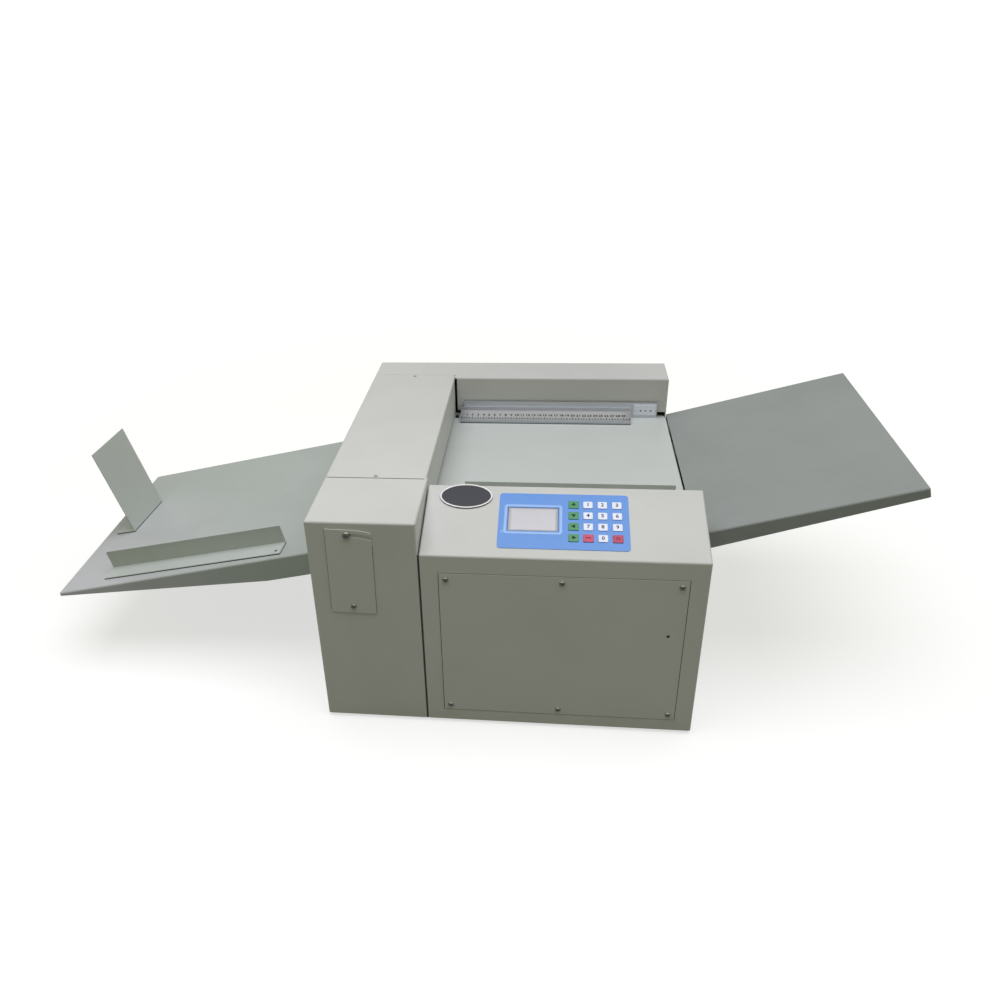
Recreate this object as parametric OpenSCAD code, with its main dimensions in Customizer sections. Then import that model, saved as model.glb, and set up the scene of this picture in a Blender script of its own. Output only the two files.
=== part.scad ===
// Desk-top sheet creaser for brochures. A sheet slides down the feed table on the right and runs flat over
// the deck. Under the bridge rollers carry it, a blade presses the fold line, and it drops on the tray on the
// left. X runs from the delivery side to the feed side, Y from the operator to the rear and Z up from the
// floor.

/* [Body] */
// Width across the tower and the control box
body_w = 534; // [510:1:590]
// Depth from the front faces to the rear face
body_d = 600; // [580:1:680]
// Height of the casings
body_h = 336; // [330:1:370]
// Height of the casings' lower edges above the floor
foot_gap = 6; // [4:0.5:10]
// Thickness of the casing sheet
sheet = 1.5; // [1:0.1:2]
// Outside radius of the bends in the sheet
bend_r = 3; // [2.4:0.1:5]
// Gap along the seams between casings
seam = 1; // [0.6:0.1:1.6]
// Clearance between pieces that slide or hang on one another
slip = 0.3; // [0.2:0.05:0.5]

/* [Front section] */
// Width of the tower
tower_w = 150; // [146:1:165]
// Depth of the tower and the control box
front_d = 126; // [120:1:150]
// Gap between the tower and the control box
box_gap = 2; // [1:0.5:5]
// Drop from the casings' top to the control box's front edge
box_front_drop = 48; // [36:1:66]
// Drop from the casings' top to the control box's rear edge
box_rear_drop = 7; // [4:1:26]
// Width of the flanges turned in at the open rear edges
turn_in = 12; // [8:1:16]
// Length of the lip that runs on behind the tower's right wall
tower_lip = 7; // [4:1:12]

/* [Bridge and rear casing] */
// How much narrower the bridge cover is than the tower
bridge_inset = 2; // [1.5:0.5:4]
// Height of the paper gap under the bridge on the feed side
entry_gap = 9; // [6:0.5:14]
// Height of the paper gap under the bridge on the delivery side
exit_gap = 14; // [10:1:20]
// Depth of the rear casing
rear_d = 80; // [70:1:100]
// How far the bridge cover laps over the rear casing
rear_lap = 13; // [12:1:18]
// Gap between the deck and the rear casing's front face
rear_slot = 9; // [7:0.5:14]
// Open gap between the bridge's feed side and the rear casing
end_gap = 4; // [2:0.5:8]
// How far the rear casing stops short of the control box's right face
step_in = 6; // [4:0.5:12]

/* [Chassis] */
// Thickness of the chassis sheet
chassis_t = 2; // [1.5:0.1:3]
// Height of the chassis floor above the casings' lower edges
floor_up = 2; // [1:0.5:4]
// Height of the edges turned up on the chassis floor
floor_lip = 12; // [8:1:20]
// Drop from the deck to the top of the chassis walls
wall_drop = 14; // [13:1:24]
// Radius of a foot at the floor
foot_r = 14; // [10:1:18]
// Distance of the feet from the outer faces
foot_inset = 46; // [40:1:60]
// Thickness of the side plates that carry the shafts
plate_t = 10; // [8:1:12]
// Radius of the tie bars
tie_r = 8; // [6:0.5:10]
// Distance of the tie bars from the edges of the side plates
tie_inset = 26; // [20:1:36]
// Radius of the cable holes in the side plates
cable_r = 34; // [20:1:40]

/* [Deck] */
// Drop from the casings' top to the deck
deck_drop = 72; // [68:1:78]
// Thickness of the deck plate
deck_t = 2; // [1.5:0.1:3]
// Width of the notch at the deck's rear corner by the bridge
notch_w = 7; // [4:0.5:10]
// Depth of the notch at the deck's rear corner by the bridge
notch_d = 16; // [8:1:24]

/* [Access panel] */
// Margin between the panel and the sides of the control box
panel_side = 25.5; // [18:0.5:40]
// Height of the panel's lower edge above the casing's lower edge
panel_low = 20; // [14:1:40]
// Distance from the panel's upper edge to the box's front top edge
panel_top = 28; // [20:1:50]
// Thickness of the panel
panel_t = 2; // [1.6:0.1:3]
// Gap around the panel in its opening
panel_gap = 1; // [0.5:0.1:1.5]
// Width of the backing frame outside the gap around the panel
back_rim = 7; // [5:0.5:9]
// Overlap of the panel around its opening
panel_lap = 20; // [16:1:30]
// Distance of the panel screws from its edges
panel_screw = 9.5; // [7:0.5:12]
// Radius of the small sight hole in the panel
sight_r = 2.5; // [1.5:0.1:4]
// Distance of the sight hole from the panel's right edge
sight_in = 21; // [16:1:40]
// Distance of the sight hole below the panel's upper edge
sight_down = 91; // [60:1:180]

/* [Inspection cover] */
// Width of the cover
cover_w = 63; // [50:1:70]
// Height of the cover
cover_h = 134; // [110:1:150]
// Thickness of the cover
cover_t = 1.5; // [1:0.1:2.5]
// Distance from the tower's left face to the cover
cover_x = 25.5; // [18:0.5:40]
// Distance from the tower's top to the cover's upper edge
cover_top = 11; // [8:1:20]
// Height of the pivot screw above the cover's lower edge
pivot_up = 11; // [9:0.5:16]
// Distance of the lock screw below the cover's upper edge
lock_down = 8; // [7:0.5:12]
// Width of the slot that slides off the lock screw
slot_w = 6; // [4.6:0.2:7]
// Overlap of the cover around its opening
cover_lap = 11; // [8:1:14]
// Turn of the cover as it was screwed down in degrees
cover_tilt = 1; // [0:0.1:2]

/* [Screws] */
// Radius of a screw's shank
screw_r = 2; // [1.5:0.1:2.2]
// Radius of a screw's head
head_r = 4; // [3.2:0.1:5]
// Height of a screw's head
head_h = 2.4; // [1.8:0.1:3]
// Radius of the lock screw's head
lock_head_r = 5.2; // [4:0.1:6]
// Radius of the heads of the bridge screws
top_head_r = 2.9; // [2.6:0.1:4]
// Height of the heads of the bridge screws
top_head_h = 1.4; // [1:0.1:2.4]
// Length of a screw under its head
screw_len = 9; // [7:0.5:12]
// Clearance around shanks, pins and shafts in their bores
bore_fit = 0.05; // [0.02:0.01:0.08]

/* [Keypad] */
// Thickness of the overlay
pad_t = 0.8; // [0.4:0.1:1.2]
// Corner radius of the overlay
pad_r = 5; // [2:0.5:8]
// Width of the display window
display_w = 69; // [60:1:74]
// Height of the display window
display_h = 43; // [36:1:48]
// Distance from the overlay's left edge to the display window
display_left = 12.5; // [9:0.5:16]
// Distance from the overlay's lower edge to the display window
display_low = 30.5; // [26:0.5:40]
// Distance from the display window to the first column of keys
key_gap = 20.2; // [18:0.1:24]
// Distance from the last column of keys to the overlay's right edge
key_right = 15.8; // [13:0.1:20]
// Distance from the overlay's lower and upper edges to the nearest rows of keys
key_low = 20; // [17:0.1:24]
// Distance between the columns of keys
key_pitch = 19.5; // [18.6:0.1:21]
// Distance between the rows of keys
row_pitch = 19.9; // [19:0.1:22]
// Width of a digit key
key_w = 12.5; // [10:0.1:13.5]
// Height of a digit key along the slope
key_h = 12; // [10:0.1:13.5]
// How much larger the coloured keys are
key_extra = 1; // [0:0.1:1.4]
// Height of the keys above the overlay
key_rise = 1; // [0.6:0.1:2]
// Travel of a key
key_travel = 0.8; // [0.4:0.1:1]
// Corner radius of a key
key_r = 1.2; // [0.6:0.1:2]

/* [Rear guide] */
// Distance from the rear fence's end to the feed side's edge
fence_end = 17; // [8:1:40]
// Height of the rear fence
fence_h = 28.5; // [22:0.5:36]
// Thickness of the rear fence
fence_t = 2.5; // [1.5:0.1:2.6]
// Distance from the bridge to the rear fence
fence_x = 17; // [15:1:24]
// Length of the ruler bar
ruler_len = 305; // [250:1:320]
// Distance from the bridge to the ruler bar
ruler_x = 11; // [11:1:30]
// Depth of the ruler bar
ruler_d = 31; // [26:1:50]
// Height of the ruler bar's front face
ruler_front_h = 6.3; // [5:0.1:10]
// Height of the ruler bar's scale at its rear
ruler_back_h = 12.5; // [10:0.5:14]
// Height of the ruler bar's spine
spine_h = 19; // [15:0.5:21]
// Thickness of the ruler bar's spine
spine_t = 3; // [2:0.5:6]
// How far the rear guide's foot runs back under the rear casing
fence_foot = 30; // [28:1:40]

/* [Angle brackets] */
// Distance from the end of the front guide to the feed side's edge
guide_end = 20; // [12:1:50]
// Height of an angle bracket's upright
bracket_h = 31; // [22:0.5:40]
// Width of an angle bracket's foot
bracket_foot = 33.5; // [22:0.5:40]
// Thickness of the brackets and of the stop
bracket_t = 1.2; // [1:0.1:2]
// Thickness of the magnet strips
magnet_t = 1.2; // [0.8:0.1:2]
// Radius of the hole in a bracket's foot
bracket_hole_r = 2.5; // [1.5:0.1:4]
// Distance from the bridge to the front guide
guide_x = 48; // [30:1:60]
// Distance from the control box to the front guide's upright
guide_y = 71; // [60:1:120]

/* [Feed table] */
// Length of the feed table along its slope
table_len = 304; // [240:1:340]
// How far the table reaches back past the rear casing's front face
table_rear = 13; // [4:1:30]
// Depth of the table's sides at the machine
table_side = 27.5; // [20:0.5:34]
// Depth of the table's far edge
table_edge = 14.5; // [10:0.5:18]
// Slope of the feed table in degrees
table_slope = 15.5; // [8:0.5:20]
// How far the table reaches forward past the deck
table_lap = 14; // [8:1:24]
// Gap between the machine's feed side and the table
table_gap = 2; // [1.5:0.5:6]

/* [Delivery tray] */
// Length of the delivery tray along its slope
tray_len = 464; // [440:1:520]
// How far the tray reaches back past the rear casing's front face
tray_rear = 4; // [0:1:20]
// Slope of the delivery tray in degrees
tray_slope = 12.3; // [8:0.1:14]
// How far the tray reaches forward past the deck
tray_lap = 11; // [4:1:20]
// Depth of the tray's sides at the machine
tray_side = 38; // [30:1:44]
// Depth of the tray's edge at its tip
tray_tip = 5.5; // [4:0.5:10]
// Length of the tray's deep sides
tray_deep = 110; // [60:1:140]
// Gap between the machine's left face and the tray
tray_gap = 8; // [7.5:0.5:12]
// Drop from the deck to the tray's upper edge
tray_drop = 45.7; // [30:0.1:60]
// Thickness of the sheet of the tray and the table
tray_t = 1.5; // [1:0.1:2]

/* [Tray stop and fence] */
// Width of the stop
stop_w = 108; // [80:1:120]
// Height of the stop
stop_h = 155; // [110:1:170]
// Width of the stop's foot
stop_foot = 37; // [28:1:44]
// Lean of the stop away from the machine in degrees
stop_lean = 4; // [0:0.5:8]
// Turn of the stop as it was put down in degrees
stop_skew = 3.4; // [0:0.1:5]
// Distance of the stop from the tray's tip
stop_in = 60; // [50:1:90]
// Distance of the stop's middle from the tray's front edge
stop_y = 229; // [224:1:260]
// Distance of the fence's middle from the tray's tip
fence_in = 231; // [200:1:260]
// Distance of the fence's upright from the tray's front edge
fence_y = 48; // [46:1:60]
// Turn of the fence as it was put down in degrees
fence_skew = 2; // [0:0.1:3]

/* [Hanging lips] */
// Length of a hanging lip along the wall
lip_len = 60; // [40:1:80]
// Height of the pocket behind a lip
lip_h = 11; // [8:0.5:11]
// Width of the pocket behind a lip
lip_gap = 3.5; // [3:0.1:4]
// Distance between the two lips of a wall
lip_pitch = 180; // [120:1:200]
// Height of a hanging flange under its lip
hang_drop = 26; // [18:1:30]

/* [Rollers and belt] */
// Radius of the feed rollers
roller_r = 12; // [10:0.5:13]
// Radius of the roller shafts
shaft_r = 5; // [4:0.5:6]
// Distance from the blade to each pair of rollers
nip_span = 44; // [41:1:48]
// How far the drive rollers stand above the deck
nip_up = 0.5; // [0.2:0.1:1]
// Gap between a drive roller and its pinch roller
nip_gap = 0.3; // [0.2:0.1:0.6]
// Gap between the rubber sleeves
sleeve_gap = 16; // [10:1:30]
// Number of rubber sleeves on a roller
sleeve_n = 4; // [3:1:4]
// Outer radius of the roller bearings
bearing_r = 9.5; // [9:0.1:10.5]
// Radius of the belt pulleys over their teeth
pulley_r = 11; // [9:0.5:12]
// Number of teeth on a pulley
pulley_n = 22; // [16:1:26]
// Width of the drive belt
belt_w = 9; // [6:0.5:11]
// Thickness of the drive belt
belt_t = 1.5; // [1:0.1:1.8]
// Drop from the drive rollers to the feed motor's shaft
motor_drop = 58; // [54:1:70]
// Side of the feed motor
motor_w = 57; // [50:1:60]
// Length of the feed motor
motor_len = 56; // [40:1:80]
// Radius of the feed motor's shaft
motor_shaft_r = 3.2; // [2.5:0.1:4]

/* [Press] */
// Distance from the side plates to the paper lane
lane_side = 27.75; // [24:0.25:40]
// Travel of the blade
press_travel = 8; // [6:0.5:8]
// How deep the blade dips into the die's groove
press_dip = 0.8; // [0.4:0.1:1.2]
// Thickness of the blade
blade_t = 1.6; // [1:0.1:2]
// Width of the knife beam
beam_w = 24; // [20:1:28]
// Height of the knife beam
beam_h = 11; // [9:0.5:12]
// Width of the die bar
die_w = 18; // [16.5:0.5:19]
// Height of the die bar
die_h = 30; // [26:1:36]
// Width of the groove in the die bar
groove_w = 3; // [2.6:0.1:4]
// Radius of the guide posts
post_r = 5; // [4:0.5:5]
// Distance from the side plates to the guide posts
post_in = 13; // [12:0.5:14]
// Radius of the cam shaft
cam_shaft_r = 6; // [5:0.5:6.5]
// Radius of the cams at rest
cam_r = 8.5; // [8:0.1:9]
// Turn of the cam shaft over the blade's travel in degrees
cam_turn = 240; // [200:5:250]
// Thickness of a cam
cam_t = 10; // [8:1:12]
// Clearance between a cam and its follower
cam_clear = 0.6; // [0.5:0.1:0.8]
// Radius of the press motor
press_motor_r = 18.5; // [16:0.5:20]
// Length of the press motor
press_motor_len = 75; // [60:1:100]
// Radius of the spring wire
wire_r = 0.8; // [0.5:0.1:0.9]
// Gap between the springs' wire and the posts
spring_gap = 0.7; // [0.4:0.1:1.2]
// Number of turns of a spring
spring_n = 6; // [5:1:7]

/* [Electrics] */
// Width of the main board
board_w = 170; // [120:1:190]
// Height of the main board
board_h = 130; // [90:1:150]
// Thickness of the circuit boards
board_t = 1.6; // [1:0.1:2]
// Width of the power supply
supply_w = 110; // [90:1:120]
// Depth of the power supply
supply_d = 80; // [60:1:90]
// Height of the power supply
supply_h = 48; // [36:1:60]
// Width of the power inlet's flange
inlet_w = 32; // [30:1:40]
// Height of the power inlet's flange
inlet_h = 62; // [60:1:70]
// Distance from the rear casing's right face to the inlet
inlet_in = 60; // [40:1:90]
// Height of the inlet above the casing's lower edge
inlet_up = 40; // [30:1:90]
// Thickness of the inlet's flange
inlet_t = 4; // [3:0.5:5]
// Depth of the inlet's body behind the flange
inlet_d = 26; // [22:1:34]
// Half swing of the rocker in degrees
rocker_tilt = 8; // [4:1:10]

/* [Hidden] */
$fn = 64;

// Colours of the finishes
casing_grey = [0.75, 0.76, 0.73];
table_grey = [0.50, 0.52, 0.51];
tray_grey = [0.68, 0.70, 0.68];
chassis_grey = [0.55, 0.56, 0.55];
steel_grey = [0.62, 0.64, 0.66];
alloy_grey = [0.78, 0.80, 0.82];
rubber_black = [0.12, 0.12, 0.12];
board_green = [0.10, 0.35, 0.20];
pad_blue = [0.40, 0.62, 0.90];
key_white = [0.94, 0.94, 0.96];
key_green = [0.25, 0.62, 0.36];
key_red = [0.84, 0.22, 0.36];

// How far cuts run past the faces they open
over = 1;
// Room left round the pieces inside the casings
spare = 14;

// Name, column, row from the front, tint and whether the key is one of the larger ones
KEYS = [
    ["key_up", 0, 3, key_green, true], ["key_1", 1, 3, key_white, false], ["key_2", 2, 3, key_white, false],
    ["key_3", 3, 3, key_white, false], ["key_down", 0, 2, key_green, true], ["key_4", 1, 2, key_white, false],
    ["key_5", 2, 2, key_white, false], ["key_6", 3, 2, key_white, false],
    ["key_left_arrow", 0, 1, key_green, true], ["key_7", 1, 1, key_white, false],
    ["key_8", 2, 1, key_white, false], ["key_9", 3, 1, key_white, false],
    ["key_right_arrow", 0, 0, key_green, true], ["key_run", 1, 0, key_red, true],
    ["key_0", 2, 0, key_white, false], ["key_stop", 3, 0, key_red, true]
];

// Levels and main planes
z_low = foot_gap;
z_top = z_low + body_h;
deck_h = body_h - deck_drop;
z_deck = z_low + deck_h;
z_under = z_low + floor_up;
z_floor = z_under + chassis_t;
rear_y = body_d - rear_d;
right_x = body_w - step_in;
box_x = tower_w + box_gap;
box_w = body_w - box_x;
box_front_h = body_h - box_front_drop;
box_rear_h = body_h - box_rear_drop;
box_slope = atan((box_rear_h - box_front_h) / front_d);
bridge_w = tower_w - bridge_inset;
bridge_rear = rear_y + rear_lap;
press_x = bridge_w / 2;
front_plate_y = front_d + seam;
rear_plate_y = rear_y + sheet + seam;
inner_front = front_plate_y + plate_t;
inner_rear = rear_plate_y;
inner_d = inner_rear - inner_front;
plate_left = chassis_t + seam;
plate_right = right_x - chassis_t - seam;
tall_right = bridge_w - sheet - seam;
lane_mid = (inner_front + inner_rear) / 2;
lane_w = inner_d - 2 * lane_side;
lane_front = inner_front + lane_side;
deck_lip = wall_drop - deck_t;

// Keypad, spread from the display and centred on the slope
key_cols = 4;
key_rows = 4;
key_left = display_left + display_w + key_gap;
pad_w = key_left + (key_cols - 1) * key_pitch + key_right;
pad_h = 2 * key_low + (key_rows - 1) * row_pitch;
pad_low = (front_d / cos(box_slope) - pad_h) / 2;
display_x = -pad_w / 2 + display_left;
display_y = pad_low + display_low;

// Rollers, belt and press
infeed_x = press_x + nip_span;
outfeed_x = press_x - nip_span;
drive_z = z_deck + nip_up - roller_r;
pinch_z = z_deck + nip_up + nip_gap + roller_r;
shaft_out = 2;
pulley_flange = 1.2;
pulley_gap = 1;
pulley_back = 7;
pulley_y = front_plate_y - pulley_back - belt_w - pulley_gap - 2 * pulley_flange;
motor_z = drive_z - motor_drop;
window_gap = 2;
cam_z = z_top - sheet - press_motor_r - 2 * seam;
cam_socket = 8;
pad_top = cam_z - cam_r - cam_clear;
follower_h = 3;
beam_top = pad_top - follower_h;
beam_low = beam_top - beam_h;
blade_tip = z_deck - press_dip + press_travel;
blade_grip = 5;
die_sink = 0.2;
die_top = z_deck - die_sink;
die_rim = 2.6;
groove_d = 2;
post_sink = 12;
post_clear = 2.5;
post_top = cam_z - cam_shaft_r - post_clear;
post_ys = [inner_front + post_in, inner_rear - post_in];
cam_in = 28;
cam_ys = [inner_front + cam_in, inner_rear - cam_in - cam_t];
spring_r = post_r + wire_r + spring_gap;
sleeve_len = (lane_w - (sleeve_n - 1) * sleeve_gap) / sleeve_n;

// Guides and brackets
fence_len = right_x - bridge_w - fence_x - fence_end;
bracket_len = right_x - bridge_w - guide_x - guide_end;

// Inspection cover and panel
cover_gap = 0.2;
cover_high = z_top - cover_top;
cover_low = cover_high - cover_h;
pivot = [cover_x + cover_w / 2, cover_low + pivot_up];
lock = [cover_x + cover_w / 2, cover_high - lock_down];
panel_x = box_x + panel_side;
panel_w = box_w - 2 * panel_side;
panel_z = z_low + panel_low;
panel_h = box_front_h - panel_low - panel_top;
panel_front = sheet - panel_t;

// Feed table and delivery tray
table_x = right_x + table_gap;
table_y = front_d - table_lap;
table_w = rear_y + table_rear - table_y;
hang_x = body_w + table_gap;
hang_top = z_deck + (hang_x - table_x) * tan(table_slope);
tray_x = -tray_gap;
tray_y = front_d - tray_lap;
tray_w = rear_y + tray_rear - tray_y;
stop_s = tray_len - stop_in;
fence_s = tray_len - fence_in;
tray_z = z_deck - tray_drop;
glide = 0.2;
hook_t = chassis_t;
hook_down = 3;
hook_play = 5;
flange_half = (lip_pitch + lip_len) / 2 + 2 * hook_play;
table_hook_z = z_deck - wall_drop - lip_h - hook_down;
tray_hook_z = tray_z - tray_t - lip_h - slip - hook_t - hook_down;

// Middle of the whole object's plan
tip_x = tray_x - tray_len * cos(tray_slope);
far_x = table_x + table_len * cos(table_slope) + table_edge * sin(table_slope);
head_front = max(-panel_front, cover_t + 2 * cover_gap) + head_h;
mid_x = (tip_x + far_x) / 2;
mid_y = (body_d + inlet_t - head_front) / 2;

// Moves a piece from the tower's front left corner to the middle of the plan
module in_frame() {
    translate([-mid_x, -mid_y, 0]) children();
}

function unit(v) = v / norm(v);

function rect(x0, y0, x1, y1) = [[x0, y0], [x1, y0], [x1, y1], [x0, y1]];

// Convex outline with its own radius at each corner
module soft_outline(points, radii) {
    n = len(points);
    back = [for (i = [0:n - 1]) unit(points[(i + n - 1) % n] - points[i])];
    ahead = [for (i = [0:n - 1]) unit(points[(i + 1) % n] - points[i])];
    half = [for (i = [0:n - 1]) acos(back[i] * ahead[i]) / 2];
    reach = [for (i = [0:n - 1]) radii[i] / tan(half[i])];
    polygon([for (i = [0:n - 1])
        each (radii[i] > 0 ? [points[i] + back[i] * reach[i], points[i] + ahead[i] * reach[i]]
            : [points[i]])]);
    for (i = [0:n - 1])
        if (radii[i] > 0)
            translate(points[i] + unit(back[i] + ahead[i]) * radii[i] / sin(half[i])) circle(radii[i]);
}

// Outline in Y and Z, carried along X
module along_x(length) {
    rotate([90, 0, 90]) linear_extrude(length) children();
}

// Outline in X and Z, carried along Y
module along_y(length) {
    translate([0, length, 0]) rotate([90, 0, 0]) linear_extrude(length) children();
}

// Block with bent edges along the top and down the front corners
module soft_front_box(w, d, h, r) {
    intersection() {
        along_x(w) soft_outline(rect(0, 0, d, h), [0, 0, 0, r]);
        along_y(d) soft_outline(rect(0, 0, w, h), [0, 0, r, r]);
        linear_extrude(h) soft_outline(rect(0, 0, w, d), [r, r, 0, 0]);
    }
}

// Block with bent edges along the top and down the rear corners
module soft_rear_box(w, d, h, r) {
    intersection() {
        along_x(w) soft_outline(rect(0, 0, d, h), [0, 0, r, r]);
        along_y(d) soft_outline(rect(0, 0, w, h), [0, 0, r, r]);
        linear_extrude(h) soft_outline(rect(0, 0, w, d), [0, 0, r, r]);
    }
}

// Control box block, with its sloped top: x runs from the box's left face
module soft_desk(w, d, front_h, rear_h, r) {
    slope = atan((rear_h - front_h) / d);
    intersection() {
        along_x(w) soft_outline([[0, 0], [d, 0], [d, rear_h], [0, front_h]], [0, 0, r, r]);
        linear_extrude(rear_h + over) soft_outline(rect(0, 0, w, d), [r, r, 0, 0]);
        translate([0, 0, front_h]) rotate([slope, 0, 0]) translate([0, -rear_h, 0])
            along_y(2 * rear_h + d) soft_outline(rect(0, -2 * rear_h, w, 0), [0, 0, r, r]);
    }
}

// Frame of the sloped keypad face: x from the box's middle, y up the slope, z out of it
module on_slope() {
    translate([box_x + box_w / 2, 0, z_low + box_front_h]) rotate([box_slope, 0, 0]) children();
}

// Frame of the delivery tray: x along the slope to the machine, y from its front edge, z out of it
module on_tray() {
    translate([tray_x, tray_y, tray_z]) rotate([0, -tray_slope, 0]) children();
}

// Bore along Y through a plate at y
module bore_y(x, y, z, r, depth) {
    translate([x, y, z]) rotate([-90, 0, 0]) cylinder(r = r, h = depth);
}

// Block on the panel's outline, grown by a margin, from y back over a depth
module panel_block(margin, y, depth) {
    translate([panel_x - margin, y, panel_z - margin])
        cube([panel_w + 2 * margin, depth, panel_h + 2 * margin]);
}

// Places of the panel screws
function panel_screws() = [
    for (x = [panel_x + panel_screw, panel_x + panel_w / 2, panel_x + panel_w - panel_screw],
         z = [panel_z + panel_screw, panel_z + panel_h - panel_screw]) [x, z]
];

// Shafts that the side plates carry: x, z, shaft radius and bearing radius
cam_bearing_r = cam_shaft_r + bearing_r - shaft_r;
SHAFTS = [
    [infeed_x, drive_z, shaft_r, bearing_r], [outfeed_x, drive_z, shaft_r, bearing_r],
    [infeed_x, pinch_z, shaft_r, bearing_r], [outfeed_x, pinch_z, shaft_r, bearing_r],
    [press_x, cam_z, cam_shaft_r, cam_bearing_r]
];

// Lip that a tray hangs on, standing out from a wall at x = 0
module hanging_lips(mid) {
    for (side = [-1, 1])
        translate([0, mid + side * lip_pitch / 2 - lip_len / 2, 0]) {
            translate([-chassis_t / 2, 0, -chassis_t])
                cube([lip_gap + chassis_t * 1.5, lip_len, chassis_t]);
            translate([lip_gap, 0, -chassis_t]) cube([chassis_t, lip_len, lip_h + chassis_t]);
        }
}

// Flange with two hooks that drop behind the lips, and a foot that bears on the wall under them
module hanging_flange(mid, gap, top, rear_end) {
    hook_len = lip_len - 2 * hook_play;
    flange_front = mid - flange_half;
    foot_len = lip_pitch - lip_len - 4 * hook_play;
    finger_x = (lip_gap - hook_t) / 2;
    bridge_z = lip_h + slip;
    for (side = [-1, 1])
        translate([0, mid + side * lip_pitch / 2 - hook_len / 2, 0]) {
            translate([finger_x, 0, over]) cube([hook_t, hook_len, bridge_z + hook_t - over]);
            translate([finger_x, 0, bridge_z]) cube([gap + hook_t / 2 - finger_x, hook_len, hook_t]);
        }
    translate([gap, flange_front, -hang_drop]) cube([hook_t, rear_end - flange_front, hang_drop + top]);
    translate([slip, mid - foot_len / 2, -hang_drop]) cube([gap + hook_t - slip, foot_len, hook_t]);
}

// Pan head screw with a head of radius r and height h, up from z = 0
module screw(r, h) {
    recess_w = r / 4;
    recess_d = h / 2;
    difference() {
        rotate_extrude() soft_outline(rect(0, 0, r, h), [0, 0, h * 0.5, 0]);
        for (turn = [0, 90])
            rotate(turn) translate([-r / 2, -recess_w / 2, h - recess_d])
                cube([r, recess_w, recess_d + over]);
    }
    translate([0, 0, -screw_len]) cylinder(r = screw_r, h = screw_len + h / 4);
}

// Base of the machine: floor, two side walls with hanging lips, and the floor's turned up edges
module base_chassis() {
    exit_wall_up = 6;
    left_top = z_deck - wall_drop + exit_wall_up;
    right_top = z_deck - wall_drop;
    wall_len = rear_y - seam - front_plate_y;
    inner_r = bend_r - chassis_t;
    tongue_right = right_x - bend_r;
    tongue_front = 2 * sheet + seam;
    color(chassis_grey) in_frame() {
        difference() {
            translate([0, front_plate_y, 0])
                along_y(wall_len) soft_outline(rect(0, z_under, right_x, z_deck), [bend_r, bend_r, 0, 0]);
            translate([0, front_plate_y - over, 0])
                along_y(wall_len + 2 * over)
                    soft_outline(rect(chassis_t, z_floor, right_x - chassis_t, z_deck + over),
                        [inner_r, inner_r, 0, 0]);
            translate([-over, 0, left_top]) cube([press_x, body_d, z_deck]);
            translate([press_x, 0, right_top]) cube([body_w, body_d, z_deck]);
        }
        translate([0, rear_y - seam - over, z_under])
            cube([chassis_t, rear_lap + seam + over, left_top - z_under]);
        for (tongue = [[sheet + seam, tower_w - sheet - seam], [box_x + sheet + seam, tongue_right]])
            translate([tongue[0], tongue_front, z_under]) {
                cube([tongue[1] - tongue[0], front_plate_y + over - tongue_front, chassis_t]);
                cube([tongue[1] - tongue[0], chassis_t, chassis_t + floor_lip]);
            }
        translate([sheet + seam, rear_y - seam - over, z_under])
            cube([tongue_right - sheet - seam, rear_d - sheet + over, chassis_t]);
        translate([sheet + seam, body_d - sheet - seam - chassis_t, z_under])
            cube([tongue_right - sheet - seam, chassis_t, chassis_t + floor_lip]);
        translate([right_x, 0, table_hook_z]) hanging_lips(lane_mid);
        translate([0, 0, tray_hook_z]) mirror([1, 0, 0]) hanging_lips(lane_mid);
    }
}

// Four feet, each with a sunk screw hole
module rubber_feet() {
    spread = 2;
    sink_r = 6;
    sink_d = z_under / 2;
    color(rubber_black) in_frame()
        for (x = [foot_inset, right_x - foot_inset], y = [foot_inset, body_d - foot_inset])
            translate([x, y, 0]) difference() {
                cylinder(r1 = foot_r, r2 = foot_r + spread, h = z_under);
                translate([0, 0, -over]) cylinder(r = sink_r, h = sink_d + over);
            }
}

// Outline of a side plate: tall under the bridge, level under the deck
module plate_outline() {
    polygon([
        [plate_left, z_floor], [plate_right, z_floor], [plate_right, z_deck - deck_t],
        [tall_right, z_deck - deck_t], [tall_right, z_top - sheet], [plate_left, z_top - sheet]
    ]);
}

// Side plate at y with its bearing seats, cable holes and the tapped hole for the bridge screw
module side_plate(y) {
    cable_z = (z_floor + z_deck) / 2;
    cable_in = 107;
    cable_edge = 44;
    difference() {
        translate([0, y, 0]) along_y(plate_t) plate_outline();
        for (s = SHAFTS)
            bore_y(s[0], y - over, s[1], s[3], plate_t + 2 * over);
        for (x = [box_x + cable_in, plate_right - cable_edge])
            bore_y(x, y - over, cable_z, cable_r, plate_t + 2 * over);
        translate([press_x, y + plate_t / 2, z_top - sheet - screw_len])
            cylinder(r = screw_r + bore_fit, h = screw_len + over);
    }
}

// Front side plate, with the pilot hole of the feed motor
module front_side_plate() {
    color(steel_grey) in_frame() difference() {
        side_plate(front_plate_y);
        bore_y(press_x, front_plate_y - over, motor_z, motor_w / 3 + bore_fit, plate_t + 2 * over);
    }
}

module rear_side_plate() {
    color(steel_grey) in_frame() side_plate(rear_plate_y);
}

// Four bars that hold the side plates apart
module tie_bars() {
    color(steel_grey) in_frame()
        for (x = [bridge_w + tie_inset, plate_right - tie_inset],
             z = [z_floor + tie_inset, z_deck - deck_t - tie_inset])
            bore_y(x, inner_front, z, tie_r, inner_d);
}

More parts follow.
